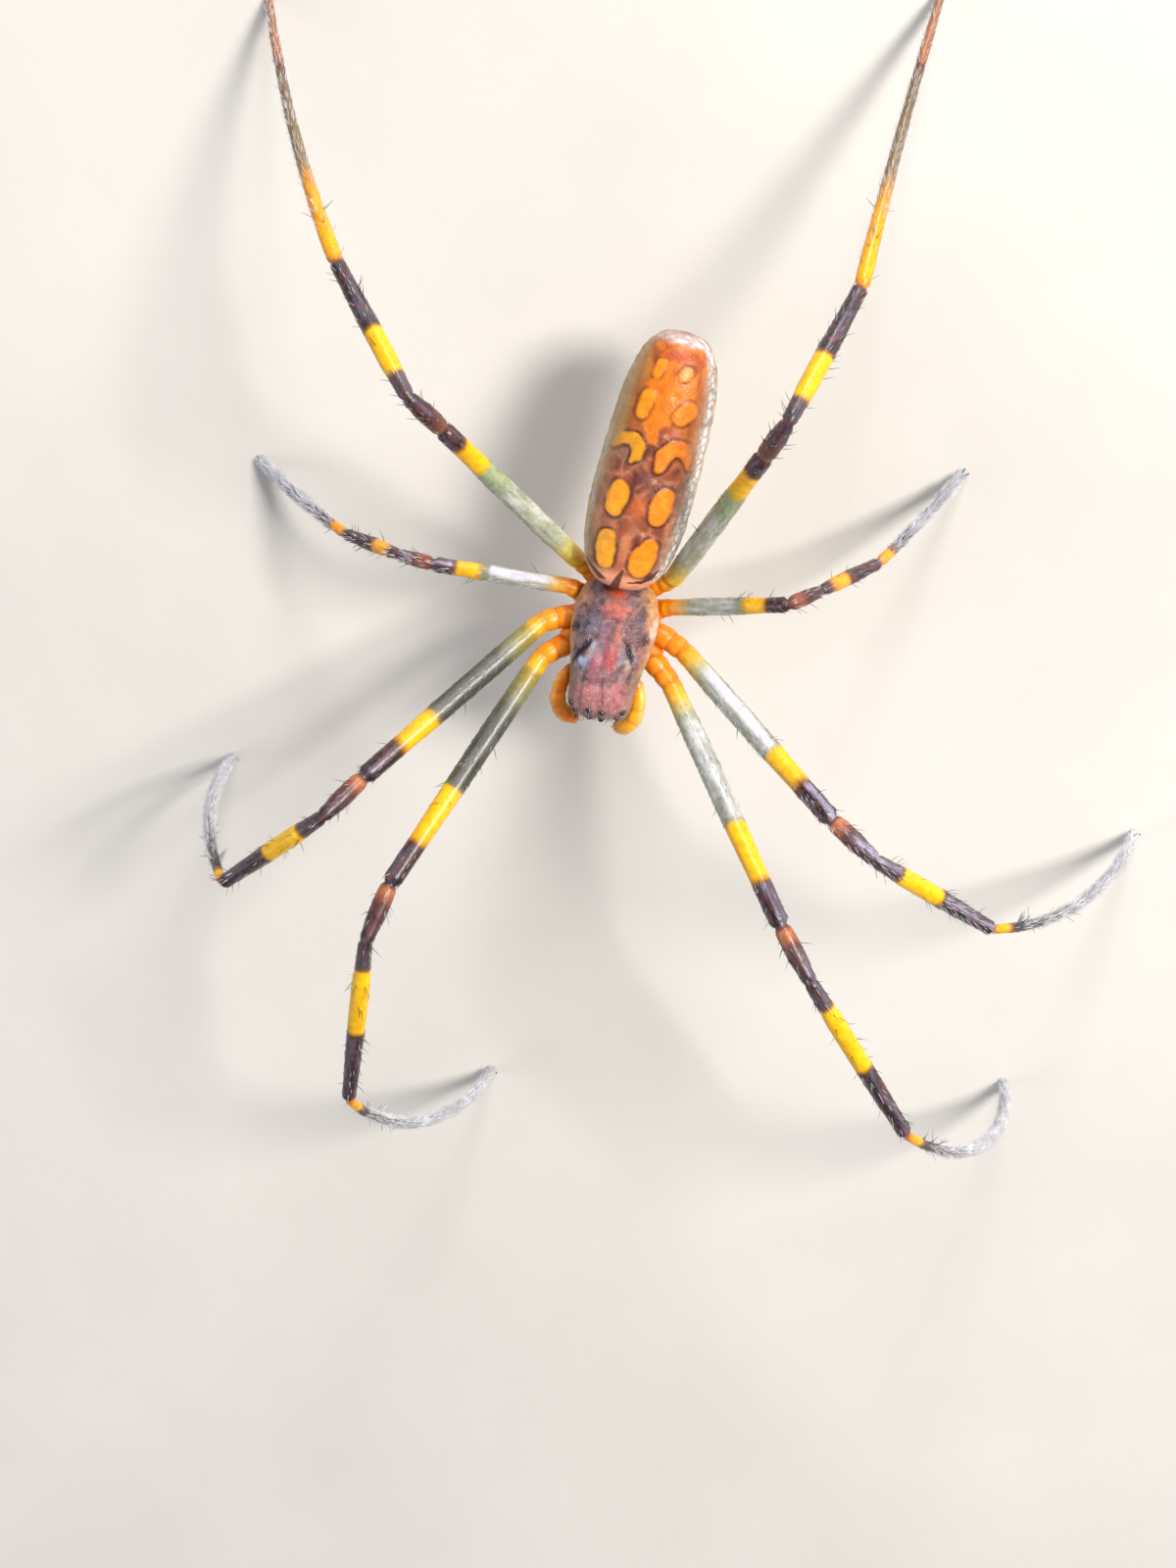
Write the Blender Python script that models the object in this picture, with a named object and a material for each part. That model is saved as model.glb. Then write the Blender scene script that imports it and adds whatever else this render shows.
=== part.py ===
"""Golden silk orb weaver: an adult female at life size, standing still on the tips of its eight feet.

Metres, +Z up. The head points towards -Y and the spider's left side is +X. The origin is on the floor, in
the middle of the box round the whole animal. The body's own frames are in millimetres and are turned and
scaled to the world's by a matrix each.
"""

import math
from typing import NamedTuple

import bmesh
import bpy
from mathutils import Matrix, Vector

MM = 0.001

BODY_HEIGHT = 8.6
STANCE_MIDDLE = (3.015, 1.54)
JOINT_GAP = 0.3
END_SLOPE = 1.45
END_RINGS = (JOINT_GAP / 2, 0.28, 0.45)
LONG_SEGMENT = 3.5
PLATE_GAP = 0.15

PROSOMA_YAW = -6.5
PROSOMA_PITCH = -7.0
MARGIN_LEVEL = -0.5
CARAPACE_ROUNDNESS = 2.3
CARAPACE_STEPS = 16

ABDOMEN_MIDDLE = (1.42, 9.65, -0.91)
ABDOMEN_YAW = -10.5
ABDOMEN_PITCH = -8.0
ABDOMEN_LENGTH = 12.9
ABDOMEN_WIDTH = 5.35
ABDOMEN_TAPER = 0.12
ABDOMEN_TOP = 2.3
ABDOMEN_BELLY = 2.1
ABDOMEN_BLUNTNESS = 3.1
ABDOMEN_RINGS = 19
ABDOMEN_SIDES = 22
NOSE_LIFT = 0.85
NOSE_STRETCH = 0.18

HIP_LEVEL = -0.9
COXA_LEVEL = -1.35
COXA_SAG = 0.12
COXA_SHAPE = (0.72, 1.0, 0.93, 0.93, 0.68, 0.36)

SOCKET_CLEARANCE = 0.05
SOLE_DEPTH = 0.5
TUBE_SIDES = 2
FOOT_STEPS = 9
STEEPEST_DIP = 15.0
HALVINGS = 40


class Station(NamedTuple):
    """One cross-section of the carapace: its place along the body, half its width and its top."""

    y: float
    half_width: float
    top: float


CARAPACE_STATIONS = (
    Station(-3.72, 0.95, 0.2),
    Station(-3.5, 1.42, 0.8),
    Station(-3.05, 1.66, 1.3),
    Station(-2.2, 1.72, 1.6),
    Station(-1.0, 1.9, 1.4),
    Station(0.2, 2.15, 1.0),
    Station(1.5, 2.2, 0.85),
    Station(2.6, 1.95, 0.5),
    Station(3.2, 1.6, 0.1),
    Station(3.5, 1.1, -0.2),
)


class Sizes(NamedTuple):
    """The lengths of one pair's leg segments, and half their widths over the hair."""

    femur: float
    patella: float
    tibia: float
    foot: float
    femur_girth: float
    patella_girth: float
    tibia_girth: float
    heel_girth: float
    tuft_girth: float
    tip_girth: float
    coxa_girth: float
    hip: tuple[float, float]
    socket: tuple[float, float]


LEG_SIZES = {
    1: Sizes(13.8, 3.1, 10.7, 16.6, 0.62, 0.52, 0.52, 0.30, 0.42, 0.28, 0.62, (3.31, -1.45), (1.75, -0.25)),
    2: Sizes(12.1, 2.9, 8.7, 13.6, 0.62, 0.52, 0.52, 0.30, 0.42, 0.28, 0.62, (3.61, 0.34), (1.85, 0.95)),
    3: Sizes(6.9, 2.0, 4.1, 7.6, 0.50, 0.42, 0.42, 0.33, 0.34, 0.27, 0.53, (2.6, 2.4), (1.65, 1.9)),
    4: Sizes(12.2, 2.7, 8.0, 16.0, 0.60, 0.52, 0.52, 0.45, 0.36, 0.28, 0.53, (2.35, 3.75), (1.1, 2.85)),
}


class Pose(NamedTuple):
    """Whole degrees for one leg: compass from +X, and rise above level, of each stretch in turn."""

    femur: tuple[int, int]
    patella_rise: int
    tibia: tuple[int, int]
    heel: tuple[int, int]
    tip: tuple[int, int]


LEG_POSES = {
    "left_1": Pose((-52, 35), 14, (-59, -11), (-48, -33), (-18, -99)),
    "left_2": Pose((-32, 35), 11, (-39, -27), (-11, -34), (41, -79)),
    "left_3": Pose((17, 25), -42, (14, -47), (37, -49), (45, -48)),
    "left_4": Pose((63, 34), 28, (64, -43), (82, -40), (78, -37)),
    "right_1": Pose((-121, 33), 25, (-96, -14), (-69, -39), (-1, -86)),
    "right_2": Pose((-139, 34), 40, (-135, -22), (156, -60), (147, -96)),
    "right_3": Pose((175, 4), -21, (181, -37), (166, -39), (156, -38)),
    "right_4": Pose((126, 33), 30, (132, -33), (128, -40), (113, -45)),
}

SIDES = {"left": 1.0, "right": -1.0}


class Eye(NamedTuple):
    """One eye of a pair: its place on the head, seen from above, and its radius."""

    x: float
    y: float
    radius: float


EYES = {
    "front_median": Eye(0.3, -3.56, 0.16),
    "rear_median": Eye(0.33, -3.1, 0.15),
    "front_lateral": Eye(1.08, -3.38, 0.13),
    "rear_lateral": Eye(1.32, -3.02, 0.13),
}

PALP_ROUTE = ((1.3, -1.65, -1.35), (1.65, -1.75, -1.25), (1.95, -2.2, -1.02), (2.08, -2.9, -0.95),
              (2.08, -3.5, -0.95), (1.85, -4.0, -1.08), (1.4, -4.35, -1.35), (0.95, -4.45, -1.8))
PALP_GIRTHS = (0.24, 0.32, 0.38, 0.42, 0.44, 0.44, 0.43, 0.26)
PALP_SPREAD = {"left": 0.92, "right": 1.05}
CHELICERA_ROUTE = ((0.62, -2.85, -1.05), (0.66, -3.2, -1.2), (0.7, -3.5, -1.7), (0.68, -3.6, -2.35),
                   (0.6, -3.5, -2.95))
CHELICERA_GIRTHS = (0.3, 0.48, 0.57, 0.5, 0.34)
FANG_ROUTE = ((0.53, -3.37, -3.15), (0.48, -3.15, -3.35), (0.4, -2.85, -3.35), (0.34, -2.65, -3.2))
FANG_GIRTHS = (0.2, 0.19, 0.15, 0.08)


def turned(yaw, pitch, place):
    """The matrix from a body's own frame in millimetres to the world in metres."""
    turn = Matrix.Rotation(math.radians(yaw), 4, "Z") @ Matrix.Rotation(math.radians(pitch), 4, "X")
    return Matrix.Scale(MM, 4) @ Matrix.Translation(place) @ turn


def body_place(x, y, z):
    """A point given from the middle of the prosoma, in the frame whose origin is under the stance."""
    return Vector((x - STANCE_MIDDLE[0], y - STANCE_MIDDLE[1], z + BODY_HEIGHT))


PROSOMA = turned(PROSOMA_YAW, PROSOMA_PITCH, body_place(0, 0, 0))
ABDOMEN = turned(ABDOMEN_YAW, ABDOMEN_PITCH, body_place(*ABDOMEN_MIDDLE))
SPINNERETS = ABDOMEN @ Matrix.Translation((0, 4.55, -1.88)) @ Matrix.Rotation(math.radians(20), 4, "X")


def finish(name, colour, roughness):
    """A plain painted-in material, with its colour as sRGB hex."""
    material = bpy.data.materials.new(name)
    material.use_nodes = True
    shader = material.node_tree.nodes["Principled BSDF"]
    channels = [int(colour[i:i + 2], 16) / 255 for i in (0, 2, 4)]
    linear = [c / 12.92 if c <= 0.04045 else ((c + 0.055) / 1.055) ** 2.4 for c in channels]
    shader.inputs["Base Color"].default_value = (*linear, 1)
    shader.inputs["Roughness"].default_value = roughness
    shader.inputs["Metallic"].default_value = 0.0
    material.diffuse_color = (*linear, 1)
    return material


def smooth(mesh, degrees=50):
    """Rounds the shading, and keeps a crease where faces meet at more than these degrees."""
    mesh.shade_smooth()
    mesh.set_sharp_from_angle(angle=math.radians(degrees))


def own_object(name, mesh, material, collection):
    """A named object with its material, in the collection."""
    mesh.materials.clear()
    mesh.materials.append(material)
    made = bpy.data.objects.new(name, mesh)
    collection.objects.link(made)
    return made


def mesh_of(name, bm):
    """A mesh from a bmesh, with all its faces turned outwards."""
    bmesh.ops.recalc_face_normals(bm, faces=bm.faces)
    mesh = bpy.data.meshes.new(name)
    bm.to_mesh(mesh)
    bm.free()
    return mesh


def tube(name, points, girths, material, collection):
    """A round tube along the points, with its own girth at each, both in metres."""
    curve = bpy.data.curves.new(name, "CURVE")
    curve.dimensions = "3D"
    curve.bevel_depth = MM
    curve.bevel_resolution = TUBE_SIDES
    curve.use_fill_caps = True
    spline = curve.splines.new("POLY")
    spline.points.add(len(points) - 1)
    for point, place, girth in zip(spline.points, points, girths):
        point.co = (*place, 1)
        point.radius = girth
    curve.materials.append(material)
    made = bpy.data.objects.new(name, curve)
    collection.objects.link(made)
    return made


def solid_tube(name, points, girths, material, collection):
    """The tube as a closed mesh, ready to be cut."""
    guide = tube(name + "_guide", points, girths, material, collection)
    bpy.context.view_layer.update()
    evaluated = guide.evaluated_get(bpy.context.evaluated_depsgraph_get())
    bm = bmesh.new()
    bm.from_mesh(bpy.data.meshes.new_from_object(evaluated))
    bm.transform(guide.matrix_world)
    bmesh.ops.remove_doubles(bm, verts=bm.verts, dist=0.001 * MM)
    made = own_object(name, mesh_of(name, bm), material, collection)
    bpy.data.objects.remove(guide)
    return made


def loft(name, rings, frame, material, collection):
    """A closed skin over a row of rings, each with the same number of points, with both ends capped."""
    bm = bmesh.new()
    rows = [[bm.verts.new(frame @ Vector(point)) for point in ring] for ring in rings]
    sides = len(rings[0])
    for near, far in zip(rows, rows[1:]):
        for i in range(sides):
            j = (i + 1) % sides
            bm.faces.new((near[i], near[j], far[j], far[i]))
    bm.faces.new(rows[0])
    bm.faces.new(rows[-1])
    mesh = mesh_of(name, bm)
    smooth(mesh)
    return own_object(name, mesh, material, collection)


def blend(values, place):
    """A smooth reading between equally spaced values, with place from 0 to their count less one."""
    last = len(values) - 1
    i = min(int(place), last - 1)
    t = place - i
    before = values[max(i - 1, 0)]
    after = values[min(i + 2, last)]
    low, high = values[i], values[i + 1]
    slope_low = (high - before) / 2
    slope_high = (after - low) / 2
    return (low * (2 * t ** 3 - 3 * t ** 2 + 1) + slope_low * (t ** 3 - 2 * t ** 2 + t)
            + high * (3 * t ** 2 - 2 * t ** 3) + slope_high * (t ** 3 - t ** 2))


def carapace_station(place):
    """The carapace's cross-section at a place counted in stations."""
    return Station(*[blend(column, place) for column in zip(*CARAPACE_STATIONS)])


def carapace_height(x, y):
    """The height of the carapace's top over a point, in the prosoma's frame."""
    low, high = 0.0, len(CARAPACE_STATIONS) - 1.0
    for _ in range(HALVINGS):
        middle = (low + high) / 2
        if carapace_station(middle).y < y:
            low = middle
        else:
            high = middle
    station = carapace_station(low)
    inside = max(0.0, 1 - (abs(x) / station.half_width) ** CARAPACE_ROUNDNESS)
    return MARGIN_LEVEL + (station.top - MARGIN_LEVEL) * inside ** (1 / CARAPACE_ROUNDNESS)


def carapace_ring(station):
    """Half an egg-shaped outline over a flat underside."""
    ring = []
    for i in range(CARAPACE_STEPS + 1):
        angle = math.pi * i / CARAPACE_STEPS
        across, up = math.cos(angle), math.sin(angle)
        x = station.half_width * math.copysign(abs(across) ** (2 / CARAPACE_ROUNDNESS), across)
        z = MARGIN_LEVEL + (station.top - MARGIN_LEVEL) * max(up, 0.0) ** (2 / CARAPACE_ROUNDNESS)
        ring.append((x, station.y, z))
    return ring


def carapace(material, collection, sockets):
    """The shield over the head and chest, high in front, with eight eye sockets cut into it."""
    places = [i / 2 for i in range(2 * len(CARAPACE_STATIONS) - 1)]
    rings = [carapace_ring(carapace_station(place)) for place in places]
    shield = loft("carapace", rings, PROSOMA, material, collection)
    cut = shield.modifiers.new("eye sockets", "BOOLEAN")
    cut.operation = "DIFFERENCE"
    cut.operand_type = "COLLECTION"
    cut.collection = sockets
    cut.solver = "EXACT"
    return shield


def ball(name, place, radius, material, collection):
    """A small sphere, with its place in the prosoma's frame."""
    bm = bmesh.new()
    bmesh.ops.create_uvsphere(bm, u_segments=8, v_segments=6, radius=radius)
    bm.transform(PROSOMA @ Matrix.Translation(place))
    mesh = mesh_of(name, bm)
    smooth(mesh)
    return own_object(name, mesh, material, collection)


def eyes(material, socket_material, collection, sockets):
    """Eight eyes in two rows, each half sunk in a socket a little wider than itself."""
    for pair, eye in EYES.items():
        for side, sign in SIDES.items():
            place = Vector((sign * eye.x, eye.y, carapace_height(eye.x, eye.y)))
            ball(f"eye_{pair}_{side}", place, eye.radius, material, collection)
            socket = ball(f"socket_{pair}_{side}", place, eye.radius + SOCKET_CLEARANCE,
                          socket_material, sockets)
            socket.hide_render = True
            socket.display_type = "WIRE"


def plate_ring(y, half_width, top, bottom, sides=10):
    """A flattened round outline across the body."""
    middle, half = (top + bottom) / 2, (top - bottom) / 2
    turns = [2 * math.pi * i / sides for i in range(sides)]
    return [(half_width * math.cos(a), y, middle + half * math.sin(a)) for a in turns]


def sternum(material, collection):
    """The heart-shaped plate between the coxae, thick enough to back the carapace."""
    rows = ((-1.75, 0.55), (-1.5, 0.95), (-0.8, 1.15), (0.2, 1.15), (1.0, 0.85), (1.7, 0.5), (2.5, 0.3))
    top = MARGIN_LEVEL - PLATE_GAP
    rings = [plate_ring(y, half_width, top, top - 0.9 - 0.5 * half_width) for y, half_width in rows]
    return loft("sternum", rings, PROSOMA, material, collection)


def mouthparts(material, collection):
    """The lower lip and the two jaw plates beside it, as one block behind the chelicerae."""
    rows = ((-2.62, 0.4), (-2.5, 0.72), (-2.1, 0.78), (-1.88, 0.6))
    rings = [plate_ring(y, half_width, -0.85, -1.9, sides=8) for y, half_width in rows]
    return loft("mouthparts", rings, PROSOMA, material, collection)


def routed(name, route, girths, sign, material, collection):
    """A tube on a route given for the left side, mirrored for the right."""
    points = [PROSOMA @ Vector((sign * x, y, z)) for x, y, z in route]
    return tube(name, points, girths, material, collection)


def pedicel(material, collection):
    """The narrow waist between chest and abdomen."""
    points = [PROSOMA @ Vector((0, y, z)) for y, z in ((2.7, -1.0), (3.0, -0.98), (3.55, -0.9), (3.95, -0.83))]
    return tube("pedicel", points, (0.25, 0.33, 0.33, 0.25), material, collection)


def abdomen_ring(t):
    """The abdomen's outline at t, from 0 at the waist to 1 at the tail."""
    along = 2 * t - 1
    fullness = (1 - abs(along) ** ABDOMEN_BLUNTNESS) ** (1 / ABDOMEN_BLUNTNESS)
    lift = NOSE_LIFT * max(0.0, 1 - t / NOSE_STRETCH) ** 2
    ring = []
    for i in range(ABDOMEN_SIDES):
        angle = 2 * math.pi * i / ABDOMEN_SIDES
        x = ABDOMEN_WIDTH / 2 * (1 - ABDOMEN_TAPER * t) * fullness * math.cos(angle)
        reach = ABDOMEN_TOP if math.sin(angle) > 0 else ABDOMEN_BELLY
        z = lift + reach * fullness * math.sin(angle)
        ring.append((x, ABDOMEN_LENGTH / 2 * along, z))
    return ring


def abdomen(material, collection):
    """The long rounded abdomen, its front end lifted over the waist."""
    turns = [math.pi * (i + 0.6) / (ABDOMEN_RINGS + 0.2) for i in range(ABDOMEN_RINGS)]
    rings = [abdomen_ring((1 - math.cos(turn)) / 2) for turn in turns]
    return loft("abdomen", rings, ABDOMEN, material, collection)


def silk_cone(name, foot_width, tip_width, height, place, material, collection):
    """One blunt cone pointing down, its top in the middle of the spinnerets' own frame."""
    bm = bmesh.new()
    bmesh.ops.create_cone(bm, cap_ends=True, segments=10, radius1=tip_width / 2, radius2=foot_width / 2,
                          depth=height)
    bm.transform(SPINNERETS @ Matrix.Translation((*place, -height / 2)))
    return own_object(name, mesh_of(name, bm), material, collection)


def spinnerets(material, collection, cones):
    """The spinning cones under the tail: two pairs and a small one behind, joined on a low base."""
    cluster = silk_cone("spinnerets", 1.7, 1.5, 0.5, (0, 0), material, collection)
    for side, sign in SIDES.items():
        silk_cone(f"spinning_cone_front_{side}", 0.62, 0.3, 1.15, (sign * 0.38, -0.28), material, cones)
        silk_cone(f"spinning_cone_rear_{side}", 0.56, 0.26, 1.05, (sign * 0.33, 0.3), material, cones)
    silk_cone("tail_cone", 0.44, 0.28, 0.8, (0, 0.62), material, cones)
    for cone in cones.objects:
        cone.hide_render = True
        cone.display_type = "WIRE"
    join = cluster.modifiers.new("cones", "BOOLEAN")
    join.operation = "UNION"
    join.operand_type = "COLLECTION"
    join.collection = cones
    join.solver = "EXACT"
    return cluster


def bearing(compass, rise):
    """The unit direction of a compass angle and a rise above level, in degrees."""
    a, e = math.radians(compass), math.radians(rise)
    return Vector((math.cos(e) * math.cos(a), math.cos(e) * math.sin(a), math.sin(e)))


def hip_point(leg):
    """Where a leg's femur starts, in the world's frame in millimetres."""
    side, pair = leg.split("_")
    x, y = LEG_SIZES[int(pair)].hip
    return (PROSOMA @ Vector((SIDES[side] * x, y, HIP_LEVEL))) / MM


def leg_joints(leg, dip):
    """The leg's joints from hip to tip, with everything past the knee tipped down by dip degrees."""
    sizes, pose = LEG_SIZES[int(leg[-1])], LEG_POSES[leg]
    hip = hip_point(leg)
    knee = hip + sizes.femur * bearing(*pose.femur)
    patella_compass = (pose.femur[0] + pose.tibia[0]) / 2
    if abs(pose.femur[0] - pose.tibia[0]) > 180:
        patella_compass += 180
    below = knee + sizes.patella * bearing(patella_compass, pose.patella_rise)
    heel = below + sizes.tibia * bearing(pose.tibia[0], pose.tibia[1] - dip)
    foot = [heel]
    for i in range(FOOT_STEPS):
        t = (i + 0.5) / FOOT_STEPS
        compass = pose.heel[0] + (pose.tip[0] - pose.heel[0]) * t
        rise = pose.heel[1] + (pose.tip[1] - pose.heel[1]) * t - dip
        foot.append(foot[-1] + sizes.foot / FOOT_STEPS * bearing(compass, rise))
    return hip, knee, below, foot


def settled_joints(leg):
    """The joints with the dip that brings the middle of the tip down to the floor."""
    low, high = -STEEPEST_DIP, STEEPEST_DIP
    for _ in range(HALVINGS):
        middle = (low + high) / 2
        if leg_joints(leg, middle)[-1][-1].z > 0:
            low = middle
        else:
            high = middle
    return leg_joints(leg, low)


def end_girth(distance, girth):
    """A girth narrowed near a joint, so that two bent segments stay clear of each other."""
    return min(girth, END_SLOPE * distance)


def segment(name, start, end, girths, material, collection):
    """A straight leg segment between two joints, coned at both ends, with girths from start to end."""
    length = (end - start).length
    inner = [length * i / 5 for i in range(1, 5)] if length > LONG_SEGMENT else [length / 2]
    distances = [*END_RINGS, *inner, *[length - d for d in reversed(END_RINGS)]]
    points, radii = [], []
    for distance in distances:
        t = distance / length
        points.append((start + (end - start) * t) * MM)
        wanted = blend(girths, t * (len(girths) - 1))
        radii.append(end_girth(min(distance, length - distance), wanted))
    return tube(name, points, radii, material, collection)


def coxa(leg, material, collection):
    """The leg's root: the coxa out of the chest and the round trochanter at its end."""
    side, pair = leg.split("_")
    sizes = LEG_SIZES[int(pair)]
    x, y = sizes.socket
    start = (PROSOMA @ Vector((SIDES[side] * x, y, COXA_LEVEL))) / MM
    hip = hip_point(leg)
    waist = start.lerp(hip, 0.55) - Vector((0, 0, COXA_SAG))
    run = [start, start.lerp(waist, 0.4), waist, waist.lerp(hip, 0.5)]
    last = hip + (waist - hip).normalized() * JOINT_GAP / 2
    points = [point * MM for point in (*run, last.lerp(run[-1], 0.3), last)]
    girths = [sizes.coxa_girth * share for share in COXA_SHAPE]
    return tube(f"leg_{leg}_coxa", points, girths, material, collection)


def foot(leg, joints, floor, material, collection):
    """The metatarsus and tarsus as one bent tube, cut level where its tip meets the floor."""
    sizes = LEG_SIZES[int(leg[-1])]
    away = (joints[1] - joints[0]).normalized()
    first, second = joints[0] + away * END_RINGS[0], joints[0] + away * END_RINGS[1]
    past = joints[-1] + (joints[-1] - joints[-2]).normalized() * SOLE_DEPTH
    points = [point * MM for point in (first, second, *joints[1:], past)]
    girths = [0.2, sizes.heel_girth]
    for i in range(1, FOOT_STEPS + 1):
        t = i / FOOT_STEPS
        girths.append(blend((sizes.heel_girth, sizes.heel_girth, sizes.tuft_girth, sizes.tuft_girth,
                             sizes.tip_girth), 4 * t))
    girths.append(sizes.tip_girth)
    made = solid_tube(f"leg_{leg}_foot", points, girths, material, collection)
    cut = made.modifiers.new("floor", "BOOLEAN")
    cut.operation = "DIFFERENCE"
    cut.object = floor
    cut.solver = "EXACT"
    return made


def floor_cutter(material, cutters):
    """The block under the floor that levels every foot."""
    bm = bmesh.new()
    bmesh.ops.create_cube(bm, size=1)
    bm.transform(Matrix.Translation((0, 0, -5 * MM)) @ Matrix.Diagonal((0.1, 0.1, 0.01, 1)))
    block = own_object("floor_cutter", mesh_of("floor_cutter", bm), material, cutters)
    block.hide_render = True
    block.display_type = "WIRE"
    return block


def leg(name, finishes, floor, collection):
    """One leg from coxa to foot."""
    sizes = LEG_SIZES[int(name[-1])]
    hip, knee, below, foot_joints = settled_joints(name)
    coxa(name, finishes["coxa"], collection)
    g = sizes.femur_girth
    segment(f"leg_{name}_femur", hip, knee, (0.8 * g, g, g, 0.9 * g, 0.82 * g), finishes["femur"], collection)
    g = sizes.patella_girth
    segment(f"leg_{name}_patella", knee, below, (0.9 * g, g, 0.9 * g), finishes["patella"], collection)
    g = sizes.tibia_girth
    segment(f"leg_{name}_tibia", below, foot_joints[0], (0.8 * g, g, g, 0.9 * g, 0.8 * g), finishes["tibia"],
            collection)
    foot(name, foot_joints, floor, finishes["foot"], collection)


def clear_scene():
    """Removes whatever the scene held."""
    for old in list(bpy.data.objects):
        bpy.data.objects.remove(old)


def new_collection(name):
    """A collection linked to the scene."""
    collection = bpy.data.collections.new(name)
    bpy.context.scene.collection.children.link(collection)
    return collection


def main():
    """Builds every sub-part of the spider."""
    clear_scene()
    spider = new_collection("golden_silk_orb_weaver")
    cutters = new_collection("cutters")
    sockets = new_collection("eye_sockets")
    cones = new_collection("spinning_cones")
    shell = finish("Carapace under silver hair", "8E7A80", 0.55)
    skin = finish("Abdomen cuticle", "B86A40", 0.5)
    dark = finish("Dark cuticle", "2A1C1E", 0.35)
    root = finish("Orange leg root", "E87A00", 0.45)
    leg_finishes = {
        "coxa": root,
        "femur": finish("Grey-green femur", "7E8A78", 0.45),
        "patella": finish("Red-brown patella", "7A3B35", 0.45),
        "tibia": finish("Banded tibia", "D9A810", 0.45),
        "foot": finish("Haired foot", "4A4550", 0.6),
    }
    eyes(finish("Eye lens", "0C0A0C", 0.08), dark, spider, sockets)
    carapace(shell, spider, sockets)
    sternum(finish("Sternum", "5A3A30", 0.5), spider)
    mouthparts(dark, spider)
    pedicel(finish("Pedicel", "8A5040", 0.5), spider)
    abdomen(skin, spider)
    spinnerets(finish("Spinnerets", "6A3A20", 0.55), spider, cones)
    palp_finish = finish("Palp", "E08A20", 0.5)
    for side, sign in SIDES.items():
        routed(f"palp_{side}", PALP_ROUTE, PALP_GIRTHS, sign * PALP_SPREAD[side], palp_finish, spider)
        routed(f"chelicera_{side}", CHELICERA_ROUTE, CHELICERA_GIRTHS, sign, dark, spider)
        routed(f"fang_{side}", FANG_ROUTE, FANG_GIRTHS, sign, dark, spider)
    floor = floor_cutter(dark, cutters)
    for name in LEG_POSES:
        leg(name, leg_finishes, floor, spider)


if __name__ == "__main__":
    main()
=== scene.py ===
"""Golden silk orb weaver: the looks of an adult female at life size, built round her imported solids.

Lengths are millimetres and angles degrees until a mesh is made. The head points towards -Y and the spider's
left side is +X. The body's frames, the leg sizes and the leg poses are those of the solids.
"""

import logging
import math
from dataclasses import dataclass
from enum import Enum
from functools import partial

import bpy
import numpy as np
from mathutils import Matrix, Vector, noise


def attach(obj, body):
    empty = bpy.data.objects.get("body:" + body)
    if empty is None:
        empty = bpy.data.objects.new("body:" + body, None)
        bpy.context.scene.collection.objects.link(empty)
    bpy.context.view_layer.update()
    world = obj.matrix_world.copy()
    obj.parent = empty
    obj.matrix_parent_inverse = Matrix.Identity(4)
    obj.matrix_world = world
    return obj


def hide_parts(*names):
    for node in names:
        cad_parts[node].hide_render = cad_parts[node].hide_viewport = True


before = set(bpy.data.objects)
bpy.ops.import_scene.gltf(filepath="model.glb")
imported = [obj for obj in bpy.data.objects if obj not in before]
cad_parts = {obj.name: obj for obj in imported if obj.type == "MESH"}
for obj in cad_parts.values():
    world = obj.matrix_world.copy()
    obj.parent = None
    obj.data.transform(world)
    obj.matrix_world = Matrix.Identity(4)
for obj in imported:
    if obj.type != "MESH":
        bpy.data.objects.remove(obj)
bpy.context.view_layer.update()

MM = 0.001
BODY = "root"
BAKE_MAP = "OFBake"
TUFT_PATCH = 0.003

BODY_HEIGHT = 8.6
STANCE_MIDDLE = (3.015, 1.54)
DEGREES = math.pi / 180

TOWARDS_CAMERA = Vector((0.110, 0.396, 0.912)).normalized()
PICTURE_UP = Vector((-0.106, 0.917, -0.385))
VIEW_UP = (PICTURE_UP - TOWARDS_CAMERA * PICTURE_UP.dot(TOWARDS_CAMERA)).normalized()
VIEW_RIGHT = VIEW_UP.cross(TOWARDS_CAMERA)

logging.basicConfig(level=logging.INFO, format="%(levelname)s %(message)s")
log = logging.getLogger("orb_weaver")


class Side(Enum):
    """The two sides of the body, with the sign of X on each."""

    LEFT = 1.0
    RIGHT = -1.0

    @property
    def word(self) -> str:
        """The side's name inside a node's name."""
        return self.name.lower()


def linear(colour: str) -> np.ndarray:
    """Turns an sRGB hex colour into linear light.

    Args:
        colour: six hex digits after a hash.

    Returns:
        Three linear channels.
    """
    channels = np.array([int(colour[i:i + 2], 16) / 255 for i in (1, 3, 5)])
    return np.where(channels <= 0.04045, channels / 12.92, ((channels + 0.055) / 1.055) ** 2.4)


def fade(start: float, end: float, value: np.ndarray) -> np.ndarray:
    """A smooth change from 0 at start to 1 at end, which may be the lower of the two.

    Args:
        start: the value that gives 0.
        end: the value that gives 1.
        value: the values to read.

    Returns:
        The share at each value, from 0 to 1.
    """
    t = np.clip((value - start) / (end - start), 0, 1)
    return t * t * (3 - 2 * t)


def bump(value: np.ndarray, middle: float, width: float) -> np.ndarray:
    """A bell of height 1 round a middle value, that has fallen to about a third at its width."""
    return np.exp(-((value - middle) / width) ** 2)


def cloud(points: np.ndarray, size: float, seed: int) -> np.ndarray:
    """Soft random patches over a surface.

    Args:
        points: the places, in millimetres.
        size: about how wide a patch is.
        seed: moves the pattern.

    Returns:
        A value from 0 to 1 at each point.
    """
    shift = Vector((seed * 7.31, seed * 3.17, seed * 5.77))
    return np.array([0.5 + 0.5 * noise.noise(Vector(p) + shift) for p in points / size])


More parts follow.
